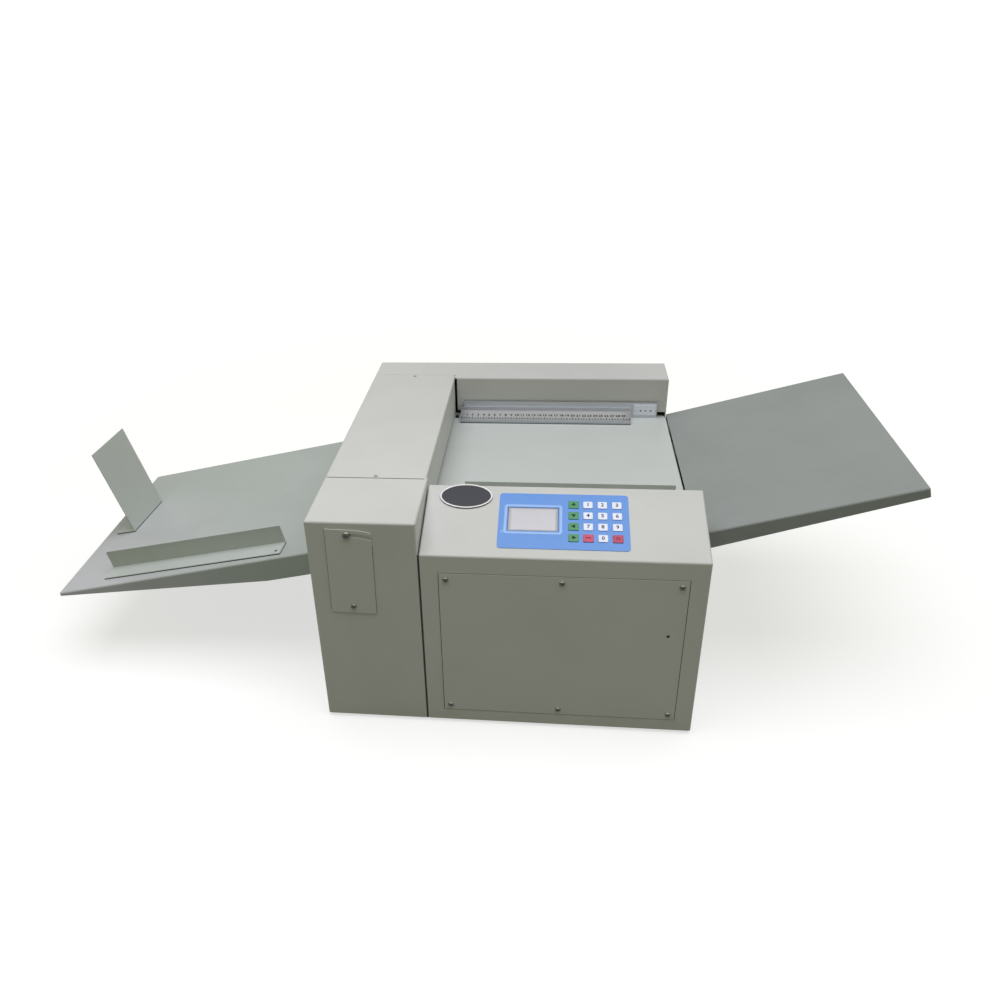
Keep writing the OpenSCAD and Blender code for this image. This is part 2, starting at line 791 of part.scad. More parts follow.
// Tower: bent shell with the inspection opening, and a lip behind its right wall
module tower_casing() {
    shell_d = front_d + tower_lip;
    flange_h = z_top - sheet - bend_r - z_floor;
    window_w = cover_w - 2 * cover_lap;
    window_low = pivot[1] + cover_lap;
    window_h = lock[1] - cover_lap - window_low;
    color(casing_grey) in_frame() {
        difference() {
            translate([0, 0, z_low]) soft_front_box(tower_w, shell_d, body_h, bend_r);
            translate([sheet, sheet, z_low - over])
                soft_front_box(tower_w - 2 * sheet, shell_d, body_h - sheet + over, bend_r - sheet);
            translate([-over, front_d, 0]) cube([tower_w - sheet + over, shell_d, z_top + over]);
            translate([-over, front_d, 0]) cube([tower_w + 2 * over, shell_d, z_deck + 2 * deck_t]);
            translate([cover_x + cover_lap, -over, window_low]) cube([window_w, sheet + 2 * over, window_h]);
            for (p = [pivot, lock])
                bore_y(p[0], -over, p[1], screw_r + bore_fit, sheet + 2 * over);
        }
        for (x = [sheet / 2, tower_w - sheet * 1.5 - turn_in])
            translate([x, front_d - sheet, z_floor]) cube([turn_in + sheet, sheet, flange_h]);
    }
}

// Control box: bent shell with a sloped top, open at the rear below the deck
module control_casing() {
    rear_open = z_deck + seam;
    back = panel_gap + back_rim;
    color(casing_grey) in_frame() {
        difference() {
            translate([box_x, 0, z_low]) soft_desk(box_w, front_d, box_front_h, box_rear_h, bend_r);
            translate([box_x + sheet, sheet, z_low - over])
                soft_desk(box_w - 2 * sheet, front_d - 2 * sheet,
                    box_front_h + over + sheet * (tan(box_slope) - 1 / cos(box_slope)),
                    box_rear_h + over - sheet * (tan(box_slope) + 1 / cos(box_slope)), bend_r - sheet);
            translate([box_x + sheet, front_d / 2, 0]) cube([box_w - 2 * sheet, front_d, rear_open]);
            panel_block(panel_gap, -over, sheet + 2 * over);
            on_slope() {
                translate([display_x, display_y, -sheet * 3]) cube([display_w, display_h, sheet * 4]);
                for (k = KEYS)
                    key_place(k) translate([0, 0, -sheet * 3])
                        linear_extrude(sheet * 4) key_outline(k, slip);
            }
        }
        difference() {
            panel_block(back, sheet, sheet);
            panel_block(-panel_lap, sheet - over, sheet + 2 * over);
            for (p = panel_screws())
                bore_y(p[0], sheet - over, p[1], screw_r + bore_fit, sheet + 2 * over);
        }
        for (x = [box_x + sheet / 2, box_x + box_w - sheet * 1.5 - turn_in])
            translate([x, front_d - sheet, z_floor])
                cube([turn_in + sheet, sheet, rear_open + seam - z_floor]);
    }
}

// Screwed plate let into the control box's front, on the frame behind its opening
module access_panel() {
    sight_z = panel_z + panel_h - sight_down;
    color(casing_grey) in_frame() difference() {
        panel_block(0, panel_front, panel_t);
        for (p = panel_screws())
            bore_y(p[0], panel_front - over, p[1], screw_r + bore_fit, panel_t + 2 * over);
        bore_y(panel_x + panel_w - sight_in, panel_front - over, sight_z, sight_r, panel_t + 2 * over);
    }
}

// Screws of the panel, the bridge cover and the inspection cover
module casing_screws() {
    color(steel_grey) in_frame() {
        for (p = panel_screws())
            translate([p[0], panel_front, p[1]]) rotate([90, 0, 0]) screw(head_r, head_h);
        translate([pivot[0], -cover_t - 2 * cover_gap, pivot[1]]) rotate([90, 0, 0]) screw(head_r, head_h);
        translate([lock[0], -cover_t - 2 * cover_gap, lock[1]]) rotate([90, 0, 0]) screw(lock_head_r, head_h);
        for (y = [front_plate_y, rear_plate_y])
            translate([press_x, y + plate_t / 2, z_top]) screw(top_head_r, top_head_h);
    }
}

// Bridge: bent channel that rests on the side plates, with the paper gaps under its skirts
module bridge_cover() {
    length = bridge_rear - front_plate_y;
    entry_z = z_deck + entry_gap;
    exit_z = z_deck + exit_gap;
    color(casing_grey) in_frame() difference() {
        translate([0, front_plate_y, 0])
            along_y(length) soft_outline(rect(0, entry_z, bridge_w, z_top), [0, 0, bend_r, bend_r]);
        translate([0, front_plate_y - over, 0])
            along_y(length + 2 * over)
                soft_outline(rect(sheet, entry_z - over, bridge_w - sheet, z_top - sheet),
                    [0, 0, bend_r - sheet, bend_r - sheet]);
        translate([-over, 0, entry_z - over]) cube([press_x, body_d, exit_z - entry_z + over]);
        translate([tall_right + seam, rear_y - end_gap, 0])
            cube([bridge_w, rear_d, z_top - bend_r]);
        for (y = [front_plate_y, rear_plate_y])
            translate([press_x, y + plate_t / 2, z_top - sheet - over])
                cylinder(r = screw_r + bore_fit, h = sheet + 2 * over);
    }
}

// Rear casing: bent shell over the rear side plate, cut away where the bridge runs into it
module rear_casing() {
    corner_x = bridge_w + seam / 2;
    face_x = bridge_w + end_gap;
    inlet_x = right_x - inlet_in - inlet_w;
    inlet_z = z_low + inlet_up;
    color(casing_grey) in_frame() difference() {
        translate([0, rear_y, z_low]) soft_rear_box(right_x, rear_d, body_h, bend_r);
        translate([sheet, rear_y + sheet, z_low - over])
            soft_rear_box(right_x - 2 * sheet, rear_d - 2 * sheet, body_h - sheet + over, bend_r - sheet);
        translate([sheet, rear_y - over, z_low - over])
            cube([right_x - 2 * sheet, sheet + 2 * over, z_deck + rear_slot - z_low + over]);
        translate([sheet, rear_y - over, z_low])
            cube([face_x - sheet, sheet + 2 * over, body_h - sheet]);
        translate([-over, rear_y - over, z_low - over])
            cube([corner_x + over, rear_lap + seam / 2 + over, body_h + 2 * over]);
        translate([inlet_x + inlet_rim - slip, body_d - sheet - over, inlet_z + inlet_rim - slip])
            cube([inlet_w - 2 * (inlet_rim - slip), sheet + 2 * over, inlet_h - 2 * (inlet_rim - slip)]);
    }
}

// Deck: paper plate that runs on under the bridge, open over the rollers and the die
module deck_plate() {
    side_gap = seam / 2;
    lip_end = rear_y - seam;
    left_end = chassis_t + seam;
    back = rear_plate_y + plate_t - seam;
    lip_r = deck_t / 2;
    color(casing_grey) in_frame() difference() {
        union() {
            translate([tall_right + seam, front_plate_y, z_deck - deck_t])
                cube([plate_right - tall_right - seam, back - front_plate_y, deck_t]);
            translate([left_end, inner_front + side_gap, z_deck - deck_t])
                cube([press_x + nip_span * 2 - left_end, inner_d - 2 * side_gap, deck_t]);
            translate([0, front_plate_y, 0]) along_y(lip_end - front_plate_y) difference() {
                soft_outline(rect(right_x - 4 * bend_r, z_deck - deck_t - deck_lip, right_x, z_deck),
                    [0, 0, deck_t + lip_r, 0]);
                soft_outline(rect(right_x - 4 * bend_r - over, z_deck - deck_t - deck_lip - over,
                    right_x - deck_t, z_deck - deck_t), [0, 0, lip_r, 0]);
            }
        }
        for (x = [infeed_x, outfeed_x])
            translate([x - roller_r - window_gap, lane_front - 6, z_deck - deck_t - over])
                cube([2 * (roller_r + window_gap), lane_w + 12, deck_t + 2 * over]);
        translate([press_x - die_w / 2 - seam, inner_front + die_rim + seam, z_deck - deck_t - over])
            cube([die_w + 2 * seam, inner_d - 2 * (die_rim + seam), deck_t + 2 * over]);
        translate([bridge_w, rear_y - notch_d, z_deck - deck_t - over])
            cube([notch_w, notch_d, deck_t + 2 * over]);
    }
}

// Die: grooved bar between the side plates, with the two posts that guide the knife beam
module die_bar() {
    low = die_top - die_h;
    rim_z = z_deck - deck_t - seam / 2;
    color(steel_grey) in_frame() {
        difference() {
            union() {
                translate([press_x - die_w / 2, inner_front, low]) cube([die_w, inner_d, rim_z - low]);
                translate([press_x - die_w / 2, inner_front + die_rim + 2 * seam, low])
                    cube([die_w, inner_d - 2 * die_rim - 4 * seam, die_h]);
            }
            translate([press_x - groove_w / 2, lane_front - 5, die_top - groove_d])
                cube([groove_w, lane_w + 10, groove_d + over]);
            for (y = post_ys)
                translate([press_x, y, die_top - post_sink]) cylinder(r = post_r, h = post_sink + over);
        }
        for (y = post_ys)
            translate([press_x, y, die_top - post_sink])
                cylinder(r = post_r, h = post_top - die_top + post_sink);
    }
}

// Bearings of the rollers and the cam shaft, seated in the side plates
module shaft_bearings() {
    color(alloy_grey) in_frame()
        for (y = [front_plate_y, rear_plate_y], s = SHAFTS)
            difference() {
                bore_y(s[0], y, s[1], s[3] - bore_fit / 2, plate_t);
                bore_y(s[0], y - over, s[1], s[2] + bore_fit, plate_t + 2 * over);
            }
}

// Place of a key on the sloped face
module key_place(k) {
    translate([-pad_w / 2 + key_left + k[1] * key_pitch, pad_low + key_low + k[2] * row_pitch, 0]) children();
}

// Outline of a key, grown by a margin
module key_outline(k, margin) {
    extra = (k[4] ? key_extra : 0) / 2 + margin;
    soft_outline(rect(-key_w / 2 - extra, -key_h / 2 - extra, key_w / 2 + extra, key_h / 2 + extra),
        [key_r, key_r, key_r, key_r]);
}

// Blue overlay around the display and the keys
module keypad_overlay() {
    color(pad_blue) in_frame() on_slope() difference() {
        translate([-pad_w / 2, pad_low, 0])
            linear_extrude(pad_t) soft_outline(rect(0, 0, pad_w, pad_h), [pad_r, pad_r, pad_r, pad_r]);
        translate([display_x, display_y, -over]) cube([display_w, display_h, pad_t + 2 * over]);
        for (k = KEYS)
            key_place(k) translate([0, 0, -over]) linear_extrude(pad_t + 2 * over) key_outline(k, slip);
    }
}

// Levels under the keypad face
flange_top = -sheet - slip;
flange_t = 1.2;
flange_w = 1;
stem_len = 1.2;
stem_r = 2;
dome_h = 1.4;
dome_r = 3;
dome_top = flange_top - flange_t - stem_len - key_travel - slip;
board_top = dome_top - dome_h;

// Key: cap through the overlay and the casing, flange that keeps it in, stem over its switch
module key(k) {
    color(k[3]) in_frame() on_slope() key_place(k) {
        translate([0, 0, flange_top - flange_t / 2])
            linear_extrude(pad_t + key_rise - flange_top + flange_t / 2) key_outline(k, 0);
        translate([0, 0, flange_top - flange_t]) linear_extrude(flange_t) key_outline(k, flange_w);
        translate([0, 0, flange_top - flange_t - stem_len])
            cylinder(r = stem_r, h = stem_len + flange_t / 2);
    }
}

// Board under the keypad, with the display, the key switches and four spacers up to the casing
module display_board() {
    rim = 4;
    spacer_r = 3;
    spacer_in = 5;
    color(board_green) in_frame() on_slope() {
        translate([-pad_w / 2, pad_low, board_top - board_t]) cube([pad_w, pad_h, board_t]);
        translate([display_x - rim, display_y - rim, board_top - board_t / 2])
            cube([display_w + 2 * rim, display_h + 2 * rim, -sheet - slip / 2 - board_top + board_t / 2]);
        for (k = KEYS)
            key_place(k) translate([0, 0, board_top - board_t / 2])
                cylinder(r = dome_r, h = dome_h + board_t / 2);
        for (x = [-1, 1], y = [pad_low + spacer_in, pad_low + pad_h - spacer_in])
            translate([x * (pad_w / 2 - spacer_in), y, board_top - board_t / 2])
                cylinder(r = spacer_r, h = -sheet - board_top + board_t / 2);
    }
}

// Main board on spacers in front of the front side plate, with its larger components
module main_board() {
    stand_off = 12.4;
    x = box_x + box_w / 2 - board_w / 2;
    z = z_floor + supply_h + spare;
    y = front_plate_y - stand_off - board_t;
    spacer_in = 6;
    spacer_r = 3;
    chip = [50, 16, 32];
    plug_row = [136, 10, 10];
    can_r = 8;
    can_h = 22;
    can_pitch = 25;
    edge = 4;
    inset = 17;
    color(board_green) in_frame() {
        translate([x, y, z]) cube([board_w, board_t, board_h]);
        for (sx = [x + spacer_in, x + board_w - spacer_in], sz = [z + spacer_in, z + board_h - spacer_in])
            bore_y(sx, y + board_t / 2, sz, spacer_r, front_plate_y - y - board_t / 2);
        translate([x + inset, y - chip[1], z + board_h / 2]) cube([chip[0], chip[1] + board_t / 2, chip[2]]);
        translate([x + board_w / 2 - plug_row[0] / 2, y - plug_row[1], z + edge])
            cube([plug_row[0], plug_row[1] + board_t / 2, plug_row[2]]);
        for (i = [0:2])
            bore_y(x + board_w - inset - i * can_pitch, y - can_h, z + board_h / 2 + inset, can_r,
                can_h + board_t / 2);
    }
}

// Power supply on the chassis floor, with its terminal block
module power_supply() {
    x = box_x + sheet + turn_in + spare;
    y = front_d - supply_d - spare;
    block = [10, 64, 14];
    color(alloy_grey) in_frame() {
        translate([x, y, z_floor]) cube([supply_w, supply_d, supply_h]);
        translate([x + supply_w - over, y + supply_d / 2 - block[1] / 2, z_floor])
            cube([block[0] + over, block[1], block[2]]);
    }
}

// Middle of the rocker in the inlet, and its pivot
inlet_mid = right_x - inlet_in - inlet_w / 2;
inlet_base = z_low + inlet_up;
inlet_rim = 3;
rocker_z = inlet_base + inlet_h - 17;
rocker_len = 21;
rocker_w = 13;
rocker_y = body_d - 3;
rocker_pin_r = 1.5;
rocker_pin = 2;
rocker_end_r = rocker_len / 2;

// Inlet: flange on the rear face, socket with three pins, and a pocket for the rocker
module power_inlet() {
    socket_wall = 0.75;
    socket_w = inlet_w - 2 * (inlet_rim + socket_wall);
    socket_h = 17;
    socket_d = 17;
    socket_z = inlet_base + 8;
    pocket_d = 14;
    pin_r = 2;
    color(rubber_black) in_frame() {
        difference() {
            union() {
                translate([inlet_mid - inlet_w / 2, body_d, inlet_base]) cube([inlet_w, inlet_t, inlet_h]);
                translate([inlet_mid - inlet_w / 2 + inlet_rim, body_d - inlet_d, inlet_base + inlet_rim])
                    cube([inlet_w - 2 * inlet_rim, inlet_d + over, inlet_h - 2 * inlet_rim]);
            }
            translate([inlet_mid, body_d + inlet_t - socket_d, socket_z])
                along_y(socket_d + over)
                    soft_outline([[-socket_w / 2, 0], [socket_w / 2, 0], [socket_w / 2, socket_h * 0.7],
                        [socket_w * 0.3, socket_h], [-socket_w * 0.3, socket_h],
                        [-socket_w / 2, socket_h * 0.7]],
                        [2, 2, 1, 1, 1, 1]);
            translate([inlet_mid - rocker_w / 2 - slip, body_d + inlet_t - pocket_d,
                rocker_z - rocker_end_r - slip])
                cube([rocker_w + 2 * slip, pocket_d + over, rocker_len + 2 * slip]);
            translate([inlet_mid - rocker_w / 2 - rocker_pin - slip, rocker_y, rocker_z]) rotate([0, 90, 0])
                cylinder(r = rocker_pin_r + bore_fit, h = rocker_w + 2 * (rocker_pin + slip));
        }
        for (pin = [[-7, 0.42], [0, 0.68], [7, 0.42]])
            bore_y(inlet_mid + pin[0], body_d + inlet_t - socket_d - over, socket_z + socket_h * pin[1],
                pin_r, socket_d - 2 * over);
    }
}

// Rocker: two pads meeting in a shallow valley, with rounded ends and pivot pins, drawn in its off position
module power_rocker() {
    face = inlet_t - over;
    depth = 7;
    color(key_red) in_frame() translate([inlet_mid, rocker_y, rocker_z]) rotate([rocker_tilt, 0, 0]) {
        intersection() {
            translate([-rocker_w / 2, 0, 0]) along_x(rocker_w)
                polygon([[-depth / 2, -rocker_len], [-depth / 2, rocker_len],
                    [face + rocker_len * tan(rocker_tilt), rocker_len], [face, 0],
                    [face + rocker_len * tan(rocker_tilt), -rocker_len]]);
            translate([-rocker_w / 2, 0, 0]) rotate([0, 90, 0]) cylinder(r = rocker_end_r, h = rocker_w);
        }
        translate([-rocker_w / 2 - rocker_pin, 0, 0]) rotate([0, 90, 0])
            cylinder(r = rocker_pin_r, h = rocker_w + 2 * rocker_pin);
    }
}

// Feed motor behind the front side plate, with its pilot in the plate
module feed_motor() {
    chamfer = 5;
    pilot = 1.6;
    flange = 5;
    half = motor_w / 2;
    corner = half - chamfer;
    shaft_bore = 10;
    color(rubber_black) in_frame() difference() {
        union() {
            translate([press_x, inner_front, motor_z]) {
                along_y(flange) square(motor_w, center = true);
                translate([0, flange / 2, 0]) along_y(motor_len - flange / 2)
                    polygon([[-half, -corner], [-corner, -half], [corner, -half], [half, -corner],
                        [half, corner], [corner, half], [-corner, half], [-half, corner]]);
            }
            bore_y(press_x, inner_front - pilot, motor_z, motor_w / 3, pilot + over);
        }
        bore_y(press_x, inner_front - pilot - over, motor_z, motor_shaft_r + bore_fit,
            shaft_bore + pilot + over);
    }
}

// Press motor on the front side plate, round the end of the cam shaft
module press_motor() {
    cap = 30;
    cap_r = press_motor_r - sheet;
    color(alloy_grey) in_frame() difference() {
        union() {
            bore_y(press_x, front_plate_y - press_motor_len + cap, cam_z, press_motor_r,
                press_motor_len - cap);
            bore_y(press_x, front_plate_y - press_motor_len, cam_z, cap_r, cap + over);
        }
        bore_y(press_x, front_plate_y - cam_socket, cam_z, cam_shaft_r + bore_fit, cam_socket + over);
    }
}

// Centres of the three pulleys
PULLEYS = [[outfeed_x, drive_z], [infeed_x, drive_z], [press_x, motor_z]];

// Belt line at a radius from the pulleys' centres: round ends joined by straight runs
module belt_line(r) {
    polygon(PULLEYS);
    for (i = [0:2]) {
        a = PULLEYS[i];
        b = PULLEYS[(i + 1) % 3];
        run = b - a;
        translate(a) circle(r);
        translate(a) rotate(atan2(run[1], run[0])) translate([0, -r]) square([norm(run), 2 * r]);
    }
}

// Belt round the two drive rollers and the motor
module drive_belt() {
    color(rubber_black) in_frame()
        translate([0, pulley_y + pulley_flange + pulley_gap / 2, 0]) along_y(belt_w) difference() {
            belt_line(pulley_r + slip + belt_t);
            belt_line(pulley_r + slip);
        }
}

// Toothed pulley with two flanges, its axis along Y from the origin
module pulley() {
    tooth_d = 1.2;
    step = 360 / pulley_n;
    flange_r = pulley_r + slip + belt_t + 0.8;
    width = belt_w + pulley_gap;
    translate([0, pulley_flange / 2, 0]) along_y(width + pulley_flange)
        polygon([for (i = [0:pulley_n - 1], p = [[0.05, 1], [0.45, 1], [0.55, 0], [0.95, 0]])
            (pulley_r - (1 - p[1]) * tooth_d) * [cos((i + p[0]) * step), sin((i + p[0]) * step)]]);
    for (y = [0, width + pulley_flange])
        bore_y(0, y, 0, flange_r, pulley_flange);
}

// Drive roller's shaft at x, with its pulley in front of the side plate
module drive_shaft(x) {
    front = pulley_y - shaft_out;
    translate([x, pulley_y, drive_z]) pulley();
    bore_y(x, front, drive_z, shaft_r, rear_plate_y + plate_t + shaft_out - front);
}

// Rubber sleeves of the drive roller at x, spread over the paper lane
module drive_sleeves(x) {
    step = sleeve_len + sleeve_gap;
    for (i = [0:sleeve_n - 1])
        difference() {
            bore_y(x, lane_front + i * step, drive_z, roller_r, sleeve_len);
            bore_y(x, lane_front + i * step - over, drive_z, shaft_r, sleeve_len + 2 * over);
        }
}

// Steel pinch roller at x, turned from one bar
module pinch_roller(x) {
    front = front_plate_y - shaft_out;
    bore_y(x, front, pinch_z, shaft_r, rear_plate_y + plate_t + shaft_out - front);
    bore_y(x, lane_front, pinch_z, roller_r, lane_w);
}

module infeed_roller() {
    color(steel_grey) in_frame() drive_shaft(infeed_x);
}

module outfeed_roller() {
    color(steel_grey) in_frame() drive_shaft(outfeed_x);
}

module infeed_sleeves() {
    color(rubber_black) in_frame() drive_sleeves(infeed_x);
}

module outfeed_sleeves() {
    color(rubber_black) in_frame() drive_sleeves(outfeed_x);
}

module infeed_pinch_roller() {
    color(steel_grey) in_frame() pinch_roller(infeed_x);
}

module outfeed_pinch_roller() {
    color(steel_grey) in_frame() pinch_roller(outfeed_x);
}

// Motor pulley on its shaft, which reaches into the feed motor
module motor_pulley() {
    front = pulley_y - shaft_out;
    reach = 8;
    color(steel_grey) in_frame() {
        translate([press_x, pulley_y, motor_z]) pulley();
        bore_y(press_x, front, motor_z, motor_shaft_r, inner_front + reach - front);
    }
}

// Outline of a cam: a spiral over its working turn, a quick return and a rest
module cam_outline() {
    rest_turn = 30;
    step = 10;
    back_turn = 360 - rest_turn - cam_turn;
    polygon([for (a = [0:step:359])
        let (lift = a <= cam_turn ? a / cam_turn : max(0, 1 - (a - cam_turn) / back_turn))
            (cam_r + press_travel * lift) * [sin(a), -cos(a)]]);
}

// Cam shaft with the two cams that press the knife beam down
module cam_shaft() {
    front = front_plate_y - cam_socket + seam;
    color(steel_grey) in_frame() {
        bore_y(press_x, front, cam_z, cam_shaft_r, rear_plate_y + plate_t + shaft_out - front);
        for (y = cam_ys)
            translate([press_x, y, cam_z]) along_y(cam_t) cam_outline();
    }
}

// Knife beam on its two posts, with a slot for the blade and pads under the cams
module knife_beam() {
    end = post_in - post_r - 3;
    follower_w = 16;
    color(alloy_grey) in_frame() difference() {
        union() {
            translate([press_x - beam_w / 2, inner_front + end, beam_low])
                cube([beam_w, inner_d - 2 * end, beam_h]);
            for (y = cam_ys)
                translate([press_x - follower_w / 2, y - over, beam_top - over])
                    cube([follower_w, cam_t + 2 * over, follower_h + over]);
        }
        translate([press_x - blade_t / 2, lane_front, beam_low - over])
            cube([blade_t, lane_w, blade_grip + over]);
        for (y = post_ys)
            translate([press_x, y, beam_low - over]) cylinder(r = post_r + bore_fit, h = beam_h + 2 * over);
    }
}

// Creasing blade with a rounded edge, held in the beam's slot
module creasing_blade() {
    color(steel_grey) in_frame() translate([press_x, lane_front, 0]) along_y(lane_w) {
        translate([0, blade_tip + blade_t / 2]) circle(blade_t / 2);
        translate([-blade_t / 2, blade_tip + blade_t / 2])
            square([blade_t, beam_low + blade_grip - blade_tip - blade_t / 2]);
    }
}

// Wire of a spring swept along its helix, from z = 0 to its height
module coil(height) {
    rings = spring_n * 8;
    sides = 6;
    rise = height - 2 * wire_r;
    lead = atan2(rise, 360 * spring_n * PI / 180 * spring_r);
    points = [for (i = [0:rings], j = [0:sides - 1])
        let (a = 360 * spring_n * i / rings, b = 360 * j / sides, out = spring_r + wire_r * cos(b),
             side = wire_r * sin(b) * sin(lead), up = wire_r * sin(b) * cos(lead))
            [out * cos(a) + side * sin(a), out * sin(a) - side * cos(a), wire_r + rise * i / rings + up]];
    skin = [for (i = [0:rings - 1], j = [0:sides - 1])
        let (a = i * sides + j, b = i * sides + (j + 1) % sides)
            each [[a, b, b + sides], [a, b + sides, a + sides]]];
    caps = [for (j = [1:sides - 2]) each [[0, j + 1, j],
        [rings * sides, rings * sides + j, rings * sides + j + 1]]];
    polyhedron(points, concat(skin, caps));
}

// Springs round the posts that lift the knife beam
module return_springs() {
    color(steel_grey) in_frame()
        for (y = post_ys)
            translate([press_x, y, die_top]) coil(beam_low - die_top - cover_gap);
}

// Cover that turns on its lower screw until its slot is off the upper one, its upper right edge an arc
module inspection_cover() {
    swing = lock[1] - pivot[1];
    color(casing_grey) in_frame() translate([0, -cover_gap - cover_t, 0]) difference() {
        translate([pivot[0], 0, pivot[1]]) along_y(cover_t) rotate(-cover_tilt) intersection() {
            translate([-cover_w / 2, -pivot_up]) square([cover_w, cover_h]);
            union() {
                translate([-cover_w, -cover_h]) square([cover_w, 3 * cover_h]);
                circle(swing + lock_down);
            }
        }
        bore_y(pivot[0], -over, pivot[1], screw_r + bore_fit, cover_t + 2 * over);
        bore_y(lock[0], -over, lock[1], slot_w / 2, cover_t + 2 * over);
        intersection() {
            difference() {
                bore_y(pivot[0], -over, pivot[1], swing + slot_w / 2, cover_t + 2 * over);
                bore_y(pivot[0], -2 * over, pivot[1], swing - slot_w / 2, cover_t + 4 * over);
            }
            translate([lock[0], -over, pivot[1]]) cube([cover_w, cover_t + 2 * over, cover_h]);
        }
    }
}

// Plane of the rear fence's face
fence_plane = rear_y - end_gap - fence_t + 1;

// Rear fence: angle whose foot runs back under the rear casing
module rear_fence() {
    foot_t = 2;
    color(alloy_grey) in_frame() translate([bridge_w + fence_x, fence_plane, z_deck + glide]) {
        cube([fence_len, fence_t, fence_h]);
        cube([fence_len, fence_foot, foot_t]);
    }
}

// Ruler bar: extruded section with a low front face, a sloped scale and a spine along the fence
module ruler_bar() {
    color(alloy_grey) in_frame()
        translate([bridge_w + ruler_x, fence_plane - ruler_d, z_deck + glide]) along_x(ruler_len)
            polygon([[0, 0], [ruler_d, 0], [ruler_d, spine_h], [ruler_d - spine_t, spine_h],
                [ruler_d - spine_t, ruler_back_h], [0, ruler_front_h]]);
}

// Angle on a magnet strip: x from its middle, upright's outer face at y = 0, foot towards -y
module angle_bracket() {
    hole_in = 9;
    translate([-bracket_len / 2, -bracket_foot, magnet_t]) difference() {
        union() {
            cube([bracket_len, bracket_foot, bracket_t]);
            translate([0, bracket_foot - bracket_t, 0]) cube([bracket_len, bracket_t, bracket_h]);
        }
        translate([bracket_len - hole_in, bracket_foot / 4, -over])
            cylinder(r = bracket_hole_r, h = bracket_t + 2 * over);
    }
}

// Magnet strip under an angle's foot
module bracket_magnet() {
    translate([-bracket_len / 2, -bracket_foot, 0]) cube([bracket_len, bracket_foot, magnet_t]);
}

// Front guide on the deck, an angle and its magnet strip
module front_guide() {
    color(tray_grey) in_frame()
        translate([bridge_w + guide_x + bracket_len / 2, front_d + guide_y, z_deck + glide]) {
            angle_bracket();
            bracket_magnet();
        }
}

// Feed table: plate with tapered sides and a notch round the control box, on a flange that hangs on the wall
module feed_table() {
    near_drop = tray_t / cos(table_slope);
    color(table_grey) in_frame() {
        difference() {
            translate([table_x, table_y, z_deck]) rotate([0, -table_slope, 0]) difference() {
                intersection() {
                    along_x(table_len) soft_outline(rect(0, -table_side, table_w, 0), [0, 0, bend_r, bend_r]);
                    along_y(table_w) soft_outline([[0, -table_side], [table_len, -table_edge], [table_len, 0],
                        [0, 0]], [0, 0, bend_r, 0]);
                    translate([0, 0, -table_side]) linear_extrude(table_side)
                        soft_outline(rect(0, 0, table_len, table_w), [0, bend_r, bend_r, 0]);
                }
                translate([-over, tray_t, -table_side - tray_t])
                    cube([table_len - tray_t + over, table_w - 2 * tray_t, table_side]);
            }
            translate([right_x, 0, z_low]) cube([hang_x - right_x, front_d + table_gap, body_h]);
        }
        translate([right_x, 0, table_hook_z])
            hanging_flange(lane_mid, hang_x - right_x, hang_top - near_drop / 2 - table_hook_z,
                rear_y + table_rear - bend_r);
    }
}

// Delivery tray: plate with tapered sides, on a flange that hangs on the left wall
module delivery_tray() {
    near_drop = tray_t / cos(tray_slope);
    color(tray_grey) in_frame() {
        on_tray() {
            intersection() {
                translate([-tray_len, 0, 0]) along_x(tray_len) difference() {
                    soft_outline(rect(0, -tray_side, tray_w, 0), [0, 0, bend_r, bend_r]);
                    soft_outline(rect(tray_t, -tray_side - over, tray_w - tray_t, -tray_t),
                        [0, 0, bend_r - tray_t, bend_r - tray_t]);
                }
                along_y(tray_w) polygon([[0, 0], [-tray_len, 0], [-tray_len, -tray_tip],
                    [-tray_deep, -tray_side], [-tray_side * tan(tray_slope), -tray_side],
                    [0, -2 * tray_t]]);
            }
            translate([-tray_len, bend_r, -tray_tip]) cube([tray_t, tray_w - 2 * bend_r, tray_tip]);
        }
        translate([0, 0, tray_hook_z]) mirror([1, 0, 0])
            hanging_flange(lane_mid, tray_gap, tray_z - near_drop + slip / 2 - tray_hook_z,
                lane_mid + flange_half);
    }
}

// Frame of the stop where it was put down on the tray
module stop_place() {
    on_tray() translate([-stop_s, stop_y, glide]) rotate([0, 0, -stop_skew]) children();
}

// Stop: foot away from the machine, upright leaning outwards
module tray_stop() {
    up = [-sin(stop_lean), cos(stop_lean)];
    back = [-cos(stop_lean), -sin(stop_lean)];
    inner_x = -bracket_t / cos(stop_lean) - bracket_t * tan(stop_lean);
    color(tray_grey) in_frame() stop_place() translate([0, -stop_w / 2, magnet_t]) along_y(stop_w)
        polygon([[-stop_foot, 0], [0, 0], stop_h * up, stop_h * up + bracket_t * back,
            [inner_x, bracket_t], [-stop_foot, bracket_t]]);
}

module stop_magnet() {
    color(rubber_black) in_frame() stop_place()
        translate([-stop_foot, -stop_w / 2, 0]) cube([stop_foot, stop_w, magnet_t]);
}

// Frame of the fence where it was put down on the tray
module fence_place() {
    on_tray() translate([-fence_s, fence_y, glide]) rotate([0, 0, -fence_skew]) children();
}

module tray_fence() {
    color(tray_grey) in_frame() fence_place() angle_bracket();
}

module fence_magnet() {
    color(rubber_black) in_frame() fence_place() bracket_magnet();
}

